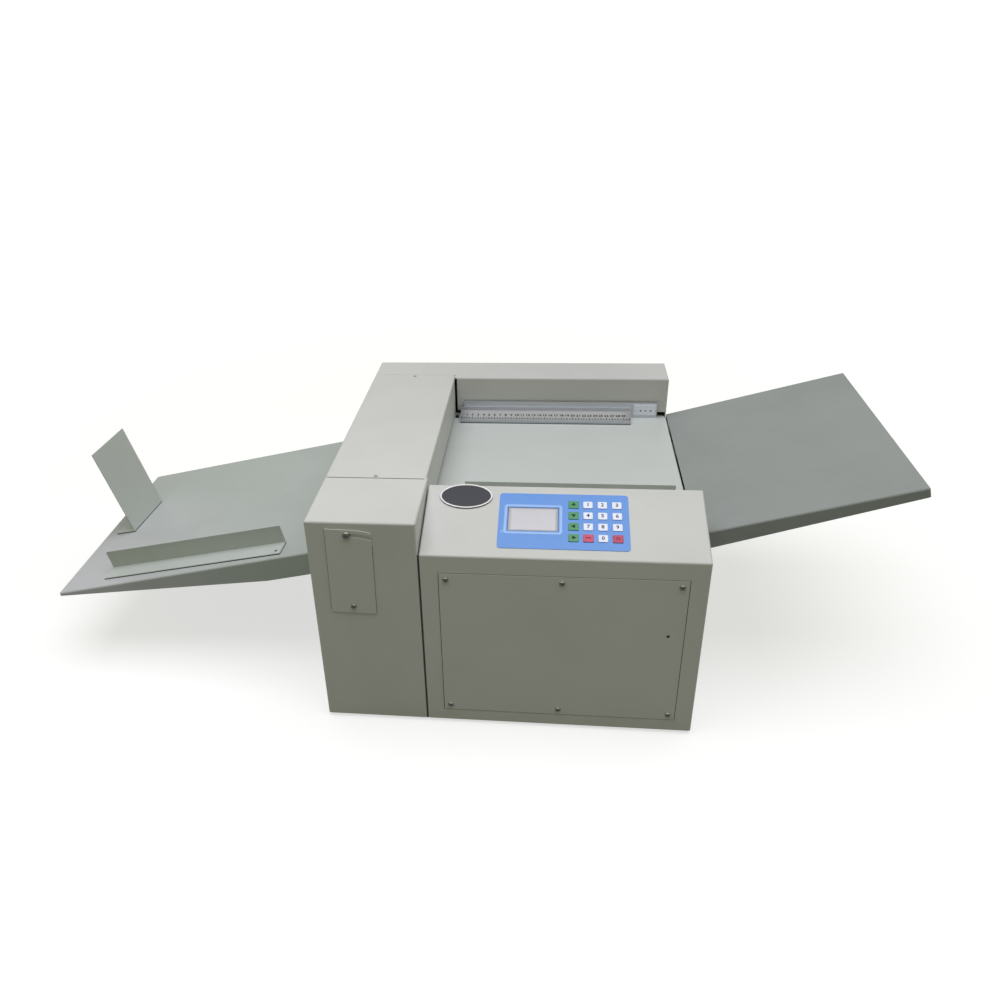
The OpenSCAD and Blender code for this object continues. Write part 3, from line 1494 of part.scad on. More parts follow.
base_chassis();
rubber_feet();
front_side_plate();
rear_side_plate();
tie_bars();
tower_casing();
control_casing();
access_panel();
casing_screws();
bridge_cover();
rear_casing();
deck_plate();
die_bar();
shaft_bearings();
keypad_overlay();
display_board();
main_board();
power_supply();
power_inlet();
power_rocker();
feed_motor();
press_motor();
drive_belt();
inspection_cover();
rear_fence();
ruler_bar();
front_guide();
feed_table();
delivery_tray();
tray_stop();
stop_magnet();
tray_fence();
fence_magnet();
infeed_roller();
infeed_sleeves();
outfeed_roller();
outfeed_sleeves();
infeed_pinch_roller();
outfeed_pinch_roller();
motor_pulley();
cam_shaft();
knife_beam();
creasing_blade();
return_springs();
for (k = KEYS)
    key(k);
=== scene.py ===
"""Looks of the desk-top sheet creaser: finishes on its CAD nodes, prints, display, badge, painted
shade in its seams, table hems, springs, light and camera."""
import math

import bpy
import numpy as np
from mathutils import Matrix, Vector


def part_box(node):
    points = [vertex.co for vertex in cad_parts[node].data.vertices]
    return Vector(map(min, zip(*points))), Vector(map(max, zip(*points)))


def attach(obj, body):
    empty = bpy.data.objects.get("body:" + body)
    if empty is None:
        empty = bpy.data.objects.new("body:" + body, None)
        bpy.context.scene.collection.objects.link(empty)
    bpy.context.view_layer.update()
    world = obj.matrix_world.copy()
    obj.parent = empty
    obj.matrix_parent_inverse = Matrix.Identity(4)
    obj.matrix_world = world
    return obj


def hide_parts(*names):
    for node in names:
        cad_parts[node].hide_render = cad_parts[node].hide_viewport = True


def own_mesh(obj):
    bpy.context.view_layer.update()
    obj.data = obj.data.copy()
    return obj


MM = 0.001

# Sizes are in millimetres, and places are counted from the tower's front left corner at the
# casings' lower edge, unless a comment says otherwise
TOWER_W, BODY_H, DECK_H = 150.0, 336.0, 264.0

# Control box: its middle, its depth and the heights between which its face slopes
BOX_MID_X, BOX_DEPTH = 343.0, 126.0
BOX_FRONT_H, BOX_REAR_H = 288.0, 329.0
BOX_SLOPE = math.atan((BOX_REAR_H - BOX_FRONT_H) / BOX_DEPTH)

# On the sloped face, from the middle of its lower edge: heights of film and keys above it, the
# display's window with its face and bead, two lamp marks, and the badge with its bead
PAD_TOP, KEY_TOP = 0.8, 1.8
WINDOW_MID, WINDOW_SIZE = (-41.0, 68.4), (69.0, 43.0)
FACE_IN, FILM_BEAD_OUT = 0.6, 3.2
LAMP_RING, LAMP_RING_R = (-82.4, 45.1), 1.7
LAMP_DOT, LAMP_DOT_R, LAMP_DOT_LIFT = (-81.4, 77.2), 1.0, 0.02
BADGE_MID, BADGE_HALF, BADGE_T = (-135.4, 108.2), (37.0, 22.8), 1.9
BEAD_IN, BEAD_W = 1.2, 2.3

# How deep the film's beads are sunk, so that no light shows under them
BEAD_SUNK = 0.02

# Prints on the keys: thickness and crown of the ink, figures, triangle, bar and ring
INK_T, INK_CROWN = 0.03, 0.02
FIGURE_SIZE, FIGURE_BOLD = 8.2, 0.22
ARROW_R = 3.85
BAR_HALF, BAR_ROUND = (3.4, 0.9), 0.5
RING_R, RING_W, RING_RISE = 2.2, 1.1, 0.05

# Ruler bar: heights of its front edge and of its spine, depth of the spine, and the bare edge
# round the scale
RULER_FRONT_H, RULER_BACK_H, RULER_SPINE, SCALE_IN = 6.3, 12.5, 3.0, 0.4

# Its scale: marks, their foot above the front edge, their widths and heights, and the figures
MARKS, MARK_FOOT = 300, 2.0
TEN_MARK, FIVE_MARK, ONE_MARK = (1.0, 6.6), (0.8, 5.6), (0.3, 3.4)
SCALE_FIGURE, SCALE_BOLD, SCALE_FIGURE_H = 8.0, 0.26, 14.4
SCALE_LIFT, SCALE_INK_LIFT = 0.12, 0.16

# Label on the fence, from the fence's lower right corner: middle, half size, and the place and half
# width of its marks and pins
LABEL_MID, LABEL_HALF = (-21.0, 14.5), (20.0, 10.5)
LABEL_MARK_H, LABEL_MARK_FLAT = 13.0, 0.8
LABEL_MARKS = ((-28.5, 1.8), (-19.8, 1.6), (-11.0, 1.8), (-36.4, 0.7), (-2.6, 0.7))

# Inspection cover about its pivot, and the painted shadow line along its left, lower and right edge
COVER_PIVOT = (57.0, 202.0)
COVER_TILT = math.radians(1.0)
COVER_HALF_W, COVER_DOWN, COVER_UP, COVER_SLOT = 31.5, 11.0, 123.0, 100.0
COVER_SHADOW_LINE = (0.9, 1.2, 0.5)

# Access panel: depth from its face to the casing behind it, the gap round it with its corners and
# its painted shade, and the painted shade over the sight hole, from the panel's upper right corner
PANEL_BACK, PANEL_GAP, PANEL_ROUND = 1.5, 1.0, 0.8
SHADE_FILL, SHADE_LIFT = 0.96, 0.05
SIGHT_R, SIGHT_IN, SIGHT_DOWN = 2.45, 21.0, 91.0

# Gap between tower and control box with painted shade in it, which ends under the box's front
# edge and reaches below the casings, and painted shadow on the tower's top at the bridge's front
# edge
BOX_GAP, BOX_GAP_SHADE, GAP_SHADE_BACK, SHADE_SHEET_T = 2.0, 2.6, 1.6, 0.1
GAP_SHADE_DOWN, GAP_SHADE_FOOT = 1.0, 1.4
BRIDGE_W, BRIDGE_FRONT, BRIDGE_SHADOW_W, BRIDGE_IN = 148.0, 126.9, 1.6, 3.0

# Painted shade of two small pits in the deck
DECK_PITS, PIT_R = ((204.8, 410.5), (205.7, 398.4)), 0.8

# Near edge of the feed table, and the two hems under it, before and behind its hooks: from, to
# and depth
TABLE_X, HEM_T, HEM_DOWN = 530.0, 0.6, 0.4
TABLE_HEMS = ((128.5, 206.0, 12.0), (470.0, 531.0, 8.0))

# The knife's return springs: wire radius, turns, steps in a turn and sides of the wire
SPRING_WIRE, SPRING_TURNS, SPRING_STEPS, SPRING_SIDES = 0.8, 6, 24, 10

# How far a crowned cap's rings run towards its middle, which one flat face closes
CAP_REACH = 0.98

# The part of its range in which a noise mostly lies
NOISE_LOW, NOISE_HIGH = 0.3, 0.7

# Roughness of the clear coat on the screws
SCREW_COAT = 0.14

# Room, in metres: the floor as light bounces off it and as it shows, its glow from near to far, the
# surround as it lights and as it shows, and the lamp overhead
FLOOR_HALF, FLOOR_ROUGH = 30.0, 0.9
FLOOR_BOUNCE, FLOOR_SHOWN = (0.24, 0.26, 0.29, 1.0), (0.5, 0.5, 0.5, 1.0)
FLOOR_GLOW = {"From Min": 0.6, "From Max": 3.0, "To Min": 0.66, "To Max": 1.0}
ROOM_LIGHT, ROOM_SHOWN = (0.19, 0.19, 0.07, 1.0), (1.0, 1.0, 1.0, 1.0)
LAMP_PLACE, LAMP_SIZE = (0.12, -0.25, 2.4), (3.0, 2.0)
LAMP_POWER, LAMP_COLOUR = 48.0, (1.02, 1.02, 1.16)

# The photograph's camera: place, turns in radians, and lens and centre in pixels of a 1000 frame
CAMERA_PLACE = (322.638, -970.701, 917.359)
CAMERA_YAW, CAMERA_PITCH, CAMERA_ROLL = 0.136, -0.525, 0.044
FOCAL_PX = 877.325
CENTRE_PX = (444.673, 515.725)
FRAME_PX = 1000.0
SENSOR = 36.0
CLIP_END = 200.0

# Bodies and slots that several pieces share
ON_FILM = ("frame", "overlay_blue")
ON_GUIDE = ("rear_guide", "guide_alloy")
IN_SEAM = ("frame", "black_rubber")

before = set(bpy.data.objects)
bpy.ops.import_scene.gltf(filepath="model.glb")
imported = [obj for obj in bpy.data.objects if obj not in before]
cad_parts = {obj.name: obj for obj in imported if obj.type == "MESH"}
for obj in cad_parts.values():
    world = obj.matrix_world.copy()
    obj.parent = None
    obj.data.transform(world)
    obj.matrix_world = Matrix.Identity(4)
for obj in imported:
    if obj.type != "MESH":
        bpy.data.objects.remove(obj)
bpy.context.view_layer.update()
CORNER = np.array(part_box("tower_casing")[0])


def linear(*rgb):
    """Linear colour of an sRGB colour from 0 to 255: ((c + 0.055) / 1.055) ** 2.4 above the toe."""
    c = np.array(rgb, float) / 255.0
    return tuple(np.where(c <= 0.04045, c / 12.92, ((c + 0.055) / 1.055) ** 2.4)) + (1.0,)


class Place:
    """A flat working place: an origin in the row frame, and axes across, up and out of it."""

    def __init__(self, origin, across, up):
        self.origin = np.array(origin, float)
        across, up = np.array(across, float), np.array(up, float)
        self.across, self.up = across / np.linalg.norm(across), up / np.linalg.norm(up)
        self.out = np.cross(self.across, self.up)

    def put(self, x, y, z):
        """Points of arrays in millimetres: origin + x * across + y * up + z * out."""
        x, y, z = (v[..., None] for v in np.broadcast_arrays(x, y, z))
        return self.origin + MM * (x * self.across + y * self.up + z * self.out)


def place_at(x, y, z, across, up):
    """Working place whose origin is given in millimetres from the tower's corner."""
    return Place(CORNER + MM * np.array([x, y, z]), across, up)


SLOPE = place_at(BOX_MID_X, 0.0, BOX_FRONT_H, (1, 0, 0),
                 (0, math.cos(BOX_SLOPE), math.sin(BOX_SLOPE)))


def new_piece(name, points, faces, material, body, smooth=True):
    """Mesh piece of points and lists of corners in the row frame, riding on a body."""
    mesh = bpy.data.meshes.new(name)
    mesh.from_pydata(np.asarray(points).reshape(-1, 3).tolist(), [], faces)
    mesh.polygons.foreach_set("use_smooth", np.full(len(faces), smooth))
    mesh.update()
    piece = bpy.data.objects.new(name, mesh)
    bpy.context.scene.collection.objects.link(piece)
    piece.data.materials.append(material)
    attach(piece, body)
    return piece


def grid_faces(rows, columns):
    """Quads of a rows x columns grid of points, with the last column joined to the first."""
    r = np.arange(rows - 1)[:, None]
    c = np.arange(columns)[None, :]
    d = (c + 1) % columns
    near, far = r * columns, (r + 1) * columns
    return np.stack([near + c, near + d, far + d, far + c], -1).reshape(-1, 4).tolist()


def patch_piece(name, place, outline, material, body, slot, lift, rise, thick, crown=6, rings=7):
    """Cap over a closed outline, lifted off its place: its points run from the outline to the
    middle, (1 - t) * outline + t * middle, and stand rise * (1 - (1 - t) ** crown) high. The first
    ring drops by thick to make the edge, and one flat face closes the middle."""
    t = np.concatenate([[0.0], np.linspace(0.0, CAP_REACH, rings)])[:, None]
    middle = outline.mean(0)
    x = (1 - t) * outline[None, :, 0] + t * middle[0]
    y = (1 - t) * outline[None, :, 1] + t * middle[1]
    z = rise * (1 - (1 - t) ** crown) * np.ones_like(x)
    z[0] -= thick
    rows, count = x.shape
    faces = grid_faces(rows, count) + [list(range((rows - 1) * count, rows * count))]
    return new_piece(name, place.put(x, y, z + lift), faces, material, body)


def rim_piece(name, place, outline, material, body, slot, width, height, lift, sides=9):
    """Half-round bead carried along a closed outline: the outline moved out by width / 2 * cos(s),
    at height * sin(s)."""
    ahead = np.roll(outline, -1, 0) - np.roll(outline, 1, 0)
    out = np.stack([ahead[:, 1], -ahead[:, 0]], 1)
    out /= np.linalg.norm(out, axis=1)[:, None]
    s = np.linspace(0, np.pi, sides)[:, None]
    x = outline[None, :, 0] + 0.5 * width * np.cos(s) * out[None, :, 0]
    y = outline[None, :, 1] + 0.5 * width * np.cos(s) * out[None, :, 1]
    z = height * np.sin(s) * np.ones_like(x) + lift
    faces = grid_faces(sides, len(outline))
    return new_piece(name, place.put(x, y, z), faces, material, body)


def print_piece(name, place, items, material, body, slot, lift):
    """Printed marks as one flat piece: items are (points, faces, x, y), each moved to its x and y
    on the place."""
    points, faces, first = [], [], 0
    for shape, polys, x, y in items:
        points.append(place.put(shape[:, 0] + x, shape[:, 1] + y, np.full(len(shape), lift)))
        faces += [[i + first for i in f] for f in polys]
        first += len(shape)
    return new_piece(name, np.concatenate(points), faces, material, body, smooth=False)


def plate_piece(name, place, material, body, slot, width, height, thick):
    """Closed flat plate: x from 0 to width, y from -height to 0 and z from -thick to 0."""
    x, y, z = np.array([0, width]), np.array([-height, 0]), np.array([-thick, 0])
    corners = place.put(*np.meshgrid(x, y, z, indexing="ij")).reshape(-1, 3)
    faces = [(0, 1, 3, 2), (4, 6, 7, 5), (0, 4, 5, 1), (2, 3, 7, 6), (0, 2, 6, 4), (1, 5, 7, 3)]
    return new_piece(name, corners, faces, material, body, smooth=False)


def ellipse(mid, half, count=96):
    """Outline x = mid + half * cos(a), y = mid + half * sin(a) over a full turn."""
    a = np.linspace(0, 2 * np.pi, count, endpoint=False)
    return np.stack([mid[0] + half[0] * np.cos(a), mid[1] + half[1] * np.sin(a)], 1)


def soft_rectangle(mid, half, radius, corner=8):
    """Outline of a rectangle with round corners: a quarter turn about each corner's centre,
    counter-clockwise."""
    a = np.linspace(0, np.pi / 2, corner)
    turns = np.array([0, 1, 2, 3])[:, None] * np.pi / 2 + a[None, :]
    x = mid[0] + np.array([1, -1, -1, 1])[:, None] * (half[0] - radius) + radius * np.cos(turns)
    y = mid[1] + np.array([1, 1, -1, -1])[:, None] * (half[1] - radius) + radius * np.sin(turns)
    return np.stack([x.ravel(), y.ravel()], 1)


def arrow_outline(mid, turn):
    """Triangle with its tip along turn: three corners a third of a turn apart, its sides sampled
    evenly."""
    a = turn + np.array([0.0, 2 * np.pi / 3, 4 * np.pi / 3])
    corners = np.stack([mid[0] + ARROW_R * np.cos(a), mid[1] + ARROW_R * np.sin(a)], 1)
    t = np.linspace(0, 1, 5, endpoint=False)[None, :, None]
    return ((1 - t) * corners[:, None] + t * np.roll(corners, -1, 0)[:, None]).reshape(-1, 2)


def bars(x, y, width, height):
    """Upright bars as points and quads: corners x +- width / 2 and y to y + height."""
    corners_x = np.stack([x - width / 2, x + width / 2, x + width / 2, x - width / 2], 1)
    corners_y = np.stack([y, y, y + height, y + height], 1)
    points = np.stack([corners_x, corners_y, np.zeros_like(corners_x)], -1).reshape(-1, 3)
    return points, np.arange(len(points)).reshape(-1, 4).tolist()


def lettering(text, size, bold):
    """Points and faces of a line of figures from Blender's own font, in millimetres and centred on
    the origin; bold thickens the strokes on each side."""
    curve = bpy.data.curves.new("figures", "FONT")
    curve.offset = bold
    curve.body, curve.size, curve.align_x, curve.align_y = text, size, "CENTER", "CENTER"
    curve.resolution_u = 3
    holder = bpy.data.objects.new("figures", curve)
    bpy.context.scene.collection.objects.link(holder)
    mesh = holder.evaluated_get(bpy.context.evaluated_depsgraph_get()).to_mesh()
    points = np.array([v.co[:] for v in mesh.vertices]).reshape(-1, 3)
    faces = [list(p.vertices) for p in mesh.polygons]
    bpy.data.objects.remove(holder)
    bpy.data.curves.remove(curve)
    return points, faces


def finish(name, roughness, metallic=0.0):
    """New material, with its node tree and its shader."""
    mat = bpy.data.materials.new(name)
    mat.use_nodes = True
    tree = mat.node_tree
    shader = tree.nodes["Principled BSDF"]
    shader.inputs["Roughness"].default_value = roughness
    shader.inputs["Metallic"].default_value = metallic
    return mat, tree, shader


def noise(tree, scale, detail=4.0, rough=0.55, stretch=(1, 1, 1)):
    """Noise over the piece's own coordinates, stretched along the axes; scale is cells a metre."""
    coords = tree.nodes.new("ShaderNodeTexCoord")
    mapping = tree.nodes.new("ShaderNodeMapping")
    mapping.inputs["Scale"].default_value = stretch
    texture = tree.nodes.new("ShaderNodeTexNoise")
    texture.inputs["Scale"].default_value = scale
    texture.inputs["Detail"].default_value = detail
    texture.inputs["Roughness"].default_value = rough
    tree.links.new(coords.outputs["Object"], mapping.inputs["Vector"])
    tree.links.new(mapping.outputs["Vector"], texture.inputs["Vector"])
    return texture.outputs["Fac"]


def ramp(tree, value, stops):
    """Colour ramp over a value: stops are (position, colour)."""
    node = tree.nodes.new("ShaderNodeValToRGB")
    elements = node.color_ramp.elements
    while len(elements) < len(stops):
        elements.new(0.5)
    for element, (position, colour) in zip(elements, stops):
        element.position, element.color = position, colour
    tree.links.new(value, node.inputs["Fac"])
    return node.outputs["Color"]


def spread(tree, value, low, high):
    """Value of a noise carried from its usual range to low..high."""
    node = tree.nodes.new("ShaderNodeMapRange")
    node.inputs["From Min"].default_value = NOISE_LOW
    node.inputs["From Max"].default_value = NOISE_HIGH
    node.inputs["To Min"].default_value = low
    node.inputs["To Max"].default_value = high
    tree.links.new(value, node.inputs["Value"])
    return node.outputs["Result"]


def relief(tree, shader, value, depth, strength):
    """Bump of a value, depth in metres."""
    node = tree.nodes.new("ShaderNodeBump")
    node.inputs["Distance"].default_value = depth
    node.inputs["Strength"].default_value = strength
    tree.links.new(value, node.inputs["Height"])
    tree.links.new(node.outputs["Normal"], shader.inputs["Normal"])


def shade(colour, factor):
    """The colour times a factor, opaque."""
    return tuple(min(1.0, c * factor) for c in colour[:3]) + (1.0,)


def wear(tree, tone, centre, radius, factor):
    """Painted light: tone times a colour factor at a centre, fading to the plain tone at a radius,
    in metres of the row frame; a factor below one paints shade, above one paints a sheen."""
    coords = tree.nodes.new("ShaderNodeTexCoord")
    mapping = tree.nodes.new("ShaderNodeMapping")
    mapping.inputs["Location"].default_value = tuple(-np.asarray(centre) / radius)
    mapping.inputs["Scale"].default_value = (1 / radius,) * 3
    ball = tree.nodes.new("ShaderNodeTexGradient")
    ball.gradient_type = "SPHERICAL"
    mix = tree.nodes.new("ShaderNodeMix")
    mix.data_type, mix.blend_type = "RGBA", "MULTIPLY"
    mix.inputs["Factor"].default_value = 1.0
    tree.links.new(coords.outputs["Object"], mapping.inputs["Vector"])
    tree.links.new(mapping.outputs["Vector"], ball.inputs["Vector"])
    first, second = [s for s in mix.inputs if s.type == "RGBA"]
    tree.links.new(tone, first)
    fade = ramp(tree, ball.outputs["Fac"], [(0.0, (1.0,) * 4), (1.0, (*factor, 1.0))])
    tree.links.new(fade, second)
    return [s for s in mix.outputs if s.type == "RGBA"][0]


def enamel(name, colour, roughness=0.48, mottle=0.05, grain=0.5, gloss=0.15, painted_light=None):
    """Stoved enamel on sheet steel: cloudy tone, faint scuffs in the gloss and a fine orange-peel
    surface; the last argument is the centre, radius and factor of a spot of painted light."""
    mat, tree, shader = finish(name, roughness)
    shader.inputs["Specular IOR Level"].default_value = gloss
    clouds = noise(tree, scale=7.0, detail=5.0)
    tone = ramp(tree, clouds, [(0.25, shade(colour, 1 - mottle)), (0.5, colour),
                               (0.78, shade(colour, 1 + 0.6 * mottle))])
    # painted light: a given spot multiplies the tone by its factor of painted shade or painted
    # sheen
    tree.links.new(wear(tree, tone, *painted_light) if painted_light else tone, shader.inputs["Base Color"])
    scuffs = noise(tree, scale=46.0, detail=8.0, rough=0.7, stretch=(1.0, 3.0, 1.0))
    gloss_map = spread(tree, scuffs, low=roughness - 0.07, high=roughness + 0.09)
    tree.links.new(gloss_map, shader.inputs["Roughness"])
    relief(tree, shader, noise(tree, scale=900.0, detail=2.0), depth=0.00012, strength=grain)
    return mat


def brushed(name, colour, roughness, stretch, scale=320.0):
    """Drawn or brushed metal: fine lines along one axis in tone, gloss and relief."""
    mat, tree, shader = finish(name, roughness, metallic=1.0)
    lines = noise(tree, scale, detail=6.0, rough=0.6, stretch=stretch)
    tone = ramp(tree, lines, [(0.2, shade(colour, 0.86)), (0.8, shade(colour, 1.06))])
    tree.links.new(tone, shader.inputs["Base Color"])
    gloss_map = spread(tree, lines, low=roughness - 0.08, high=roughness + 0.1)
    tree.links.new(gloss_map, shader.inputs["Roughness"])
    relief(tree, shader, lines, depth=0.00004, strength=0.5)
    return mat


def wiped_steel(name, dull, bright, roughness):
    """Oiled screw steel with painted light: a painted highlight on the sides that face up, dark on
    the others and in the recess as painted shade, with a fine grain under a clear coat."""
    mat, tree, shader = finish(name, roughness, metallic=1.0)
    shader.inputs["Coat Weight"].default_value = 1.0
    shader.inputs["Coat Roughness"].default_value = SCREW_COAT
    facing = tree.nodes.new("ShaderNodeNewGeometry")
    parts = tree.nodes.new("ShaderNodeSeparateXYZ")
    tree.links.new(facing.outputs["Normal"], parts.inputs["Vector"])
    # painted highlight: the colour runs from dark to bright as the surface turns to face up
    tone = ramp(tree, parts.outputs["Z"], [(0.3, dull), (0.75, bright)])
    tree.links.new(tone, shader.inputs["Base Color"])
    grain = noise(tree, scale=700.0, detail=6.0, rough=0.6)
    relief(tree, shader, grain, depth=0.00004, strength=0.5)
    return mat


def rubber(name, colour):
    """Matt rubber with a dusty bloom and a fine grain."""
    mat, tree, shader = finish(name, roughness=0.82)
    bloom = noise(tree, scale=60.0, detail=6.0)
    tone = ramp(tree, bloom, [(0.3, colour), (0.75, shade(colour, 1.9))])
    tree.links.new(tone, shader.inputs["Base Color"])
    relief(tree, shader, noise(tree, scale=1500.0, detail=2.0), depth=0.00012, strength=0.5)
    return mat


def moulded(name, colour, roughness=0.34, mottle=0.05):
    """Moulded plastic with a soft gloss and a fine spark-eroded grain."""
    mat, tree, shader = finish(name, roughness)
    clouds = noise(tree, scale=90.0)
    tone = ramp(tree, clouds, [(0.3, shade(colour, 1 - mottle)), (0.75, shade(colour, 1 + mottle))])
    tree.links.new(tone, shader.inputs["Base Color"])
    relief(tree, shader, noise(tree, scale=2600.0, detail=2.0), depth=0.00003, strength=0.6)
    return mat


def printed(name, colour, roughness=0.5):
    """Screen-printed ink with a slightly uneven coat."""
    mat, tree, shader = finish(name, roughness)
    shader.inputs["Specular IOR Level"].default_value = 0.12
    coat = noise(tree, scale=700.0, detail=3.0)
    tone = ramp(tree, coat, [(0.25, colour), (0.8, shade(colour, 1.25))])
    tree.links.new(tone, shader.inputs["Base Color"])
    return mat


# Two spots of painted light, in metres: painted shade darkening the top of the rear casing and a
# painted sheen lightening the tip of the tray
REAR_PAINTED_SHADE = (tuple(CORNER + np.array([0.35, 0.62, 0.33])), 0.55, (0.8, 0.8, 0.81))
TRAY_PAINTED_SHEEN = (tuple(np.array(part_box("delivery_tray")[0]) + np.array([0.03, 0.03, 0.0])), 0.3,
             (1.3, 1.2, 1.34))

# Finishes, by the colours that the photograph shows on the lit faces
# painted shade: the casing enamel is darkened towards the top of the rear casing
CASING = enamel("casing_enamel", linear(208, 209, 206), painted_light=REAR_PAINTED_SHADE)
DECK = enamel("deck_enamel", linear(192, 197, 194), roughness=0.42, mottle=0.04, grain=0.35,
              gloss=0.3)
TABLE = enamel("table_enamel", linear(146, 151, 149), roughness=0.5, mottle=0.09)
# painted sheen: the tray enamel is lightened towards the tray's tip
TRAY = enamel("tray_enamel", linear(178, 185, 181), roughness=0.46, mottle=0.06, painted_light=TRAY_PAINTED_SHEEN)
BRACKET = enamel("bracket_enamel", linear(193, 199, 195), roughness=0.46)
CHASSIS = enamel("chassis_enamel", linear(186, 188, 184), roughness=0.5)
MILLED = brushed("milled_alloy", linear(196, 198, 200), 0.38, stretch=(1.0, 8.0, 8.0), scale=160.0)
ANODISED = brushed("anodised_alloy", linear(191, 194, 197), 0.42, stretch=(0.05, 4.0, 4.0))
STEEL = brushed("plated_steel", linear(176, 178, 180), 0.3, stretch=(1.0, 0.1, 1.0))
SCREW = wiped_steel("screw_steel", linear(44, 45, 36), linear(172, 172, 164), 0.24)
BRASS = brushed("bearing_brass", linear(196, 168, 104), 0.34, stretch=(1.0, 1.0, 1.0), scale=500.0)
RUBBER = rubber("black_rubber", linear(30, 30, 31))
ROLLER = rubber("roller_rubber", linear(44, 44, 46))
BLACK = moulded("black_moulding", linear(30, 30, 32), roughness=0.42, mottle=0.15)
MOTOR = enamel("motor_black", linear(38, 38, 40), roughness=0.4, mottle=0.1)
BOARD = moulded("board_lacquer", linear(40, 104, 66), roughness=0.3, mottle=0.12)
FILM = moulded("overlay_film", linear(87, 144, 221), roughness=0.3, mottle=0.025)
FILM_RIM = moulded("overlay_rim", linear(146, 188, 246), roughness=0.16, mottle=0.02)
WHITE_KEY = moulded("white_key", linear(231, 236, 253), roughness=0.32, mottle=0.015)
GREEN_KEY = moulded("green_key", linear(48, 137, 77), roughness=0.3, mottle=0.04)
RED_KEY = moulded("red_key", linear(198, 48, 88), roughness=0.3, mottle=0.04)
DEEP_RED = moulded("deep_red_key", linear(178, 36, 78), roughness=0.3, mottle=0.04)
GLASS = moulded("display_face", linear(196, 196, 202), roughness=0.14, mottle=0.02)
INK = printed("black_ink", linear(26, 27, 32))
GREEN_INK = printed("green_ink", linear(14, 48, 26))
RED_INK = printed("red_ink", linear(134, 26, 50))
BADGE = printed("badge_face", linear(66, 67, 72), roughness=0.35)
BADGE_RIM = moulded("badge_rim", linear(240, 240, 240), roughness=0.28, mottle=0.01)
SCALE = printed("scale_face", linear(160, 161, 160), roughness=0.4)
LABEL = printed("label_face", linear(218, 222, 238), roughness=0.35)
LABEL_INK = printed("label_ink", linear(84, 88, 112))
# painted shadow: grey for the line round the inspection cover
SHADOW_LINE_GREY = rubber("painted_shadow_line", linear(70, 72, 62))
# painted shade: near black for the casing's gaps and the sight hole
SHADE_BLACK = rubber("painted_shade_black", linear(16, 16, 15))
# painted shade: dark grey for the contact shadow under the ruler and the deck's pits
SHADE_GREY = rubber("painted_shade_grey", linear(52, 53, 52))
FILM_MARK = moulded("overlay_mark", linear(60, 112, 190), roughness=0.3, mottle=0.02)

NODE_FINISH = {
    "base_chassis": CHASSIS, "rubber_feet": RUBBER, "front_side_plate": MILLED,
    "rear_side_plate": MILLED, "tie_bars": STEEL, "tower_casing": CASING, "control_casing": CASING,
    "access_panel": CASING, "casing_screws": SCREW, "bridge_cover": CASING, "rear_casing": CASING,
    "deck_plate": DECK, "die_bar": STEEL, "shaft_bearings": BRASS, "keypad_overlay": FILM,
    "display_board": BOARD, "main_board": BOARD, "power_supply": MILLED, "power_inlet": BLACK,
    "power_rocker": RED_KEY, "feed_motor": MOTOR, "press_motor": MILLED, "drive_belt": RUBBER,
    "inspection_cover": CASING, "rear_fence": ANODISED, "ruler_bar": ANODISED,
    "front_guide": BRACKET, "feed_table": TABLE, "delivery_tray": TRAY, "tray_stop": BRACKET,
    "stop_magnet": RUBBER, "tray_fence": BRACKET, "fence_magnet": RUBBER, "infeed_roller": STEEL,
    "infeed_sleeves": ROLLER, "outfeed_roller": STEEL, "outfeed_sleeves": ROLLER,
    "infeed_pinch_roller": STEEL, "outfeed_pinch_roller": STEEL, "motor_pulley": STEEL,
    "cam_shaft": STEEL, "knife_beam": MILLED, "creasing_blade": STEEL, "return_springs": STEEL,
    "key_up": GREEN_KEY, "key_down": GREEN_KEY, "key_left_arrow": GREEN_KEY,
    "key_right_arrow": GREEN_KEY, "key_run": RED_KEY, "key_stop": DEEP_RED,
}


def dress_nodes():
    """Puts a finish on every CAD node; the digit keys are white."""
    for name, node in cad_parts.items():
        node.data.materials.clear()
        node.data.materials.append(NODE_FINISH.get(name, WHITE_KEY))


def key_middle(key):
    """Middle of a key on the sloped face, in millimetres of the slope's place."""
    low, high = np.array(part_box(key))
    offset = ((low + high) / 2 - SLOPE.origin) / MM
    return float(offset @ SLOPE.across), float(offset @ SLOPE.up)


def make_key_prints():
    """Figures on the digit keys, triangles on the arrow keys, a bar and a ring on the red keys."""
    lift = KEY_TOP + INK_T
    for digit in "0123456789":
        key = "key_" + digit
        figure = (*lettering(digit, FIGURE_SIZE, FIGURE_BOLD), *key_middle(key))
        print_piece("figure_" + digit, SLOPE, [figure], INK, key + "_button", "key_white", lift)
    for key, turn in (("key_up", 0.5), ("key_down", -0.5), ("key_left_arrow", 1.0),
                      ("key_right_arrow", 0.0)):
        arrow = arrow_outline(key_middle(key), turn * np.pi)
        patch_piece(key + "_print", SLOPE, arrow, GREEN_INK, key + "_button", "key_green",
                    lift, rise=INK_CROWN, thick=INK_T)
    bar = soft_rectangle(key_middle("key_run"), BAR_HALF, BAR_ROUND)
    patch_piece("key_run_print", SLOPE, bar, RED_INK, "key_run_button", "key_red",
                lift, rise=INK_CROWN, thick=INK_T)
    ring = ellipse(key_middle("key_stop"), (RING_R, RING_R), count=40)
    rim_piece("key_stop_print", SLOPE, ring, RED_INK, "key_stop_button", "key_red",
              width=RING_W, height=RING_RISE, lift=KEY_TOP)


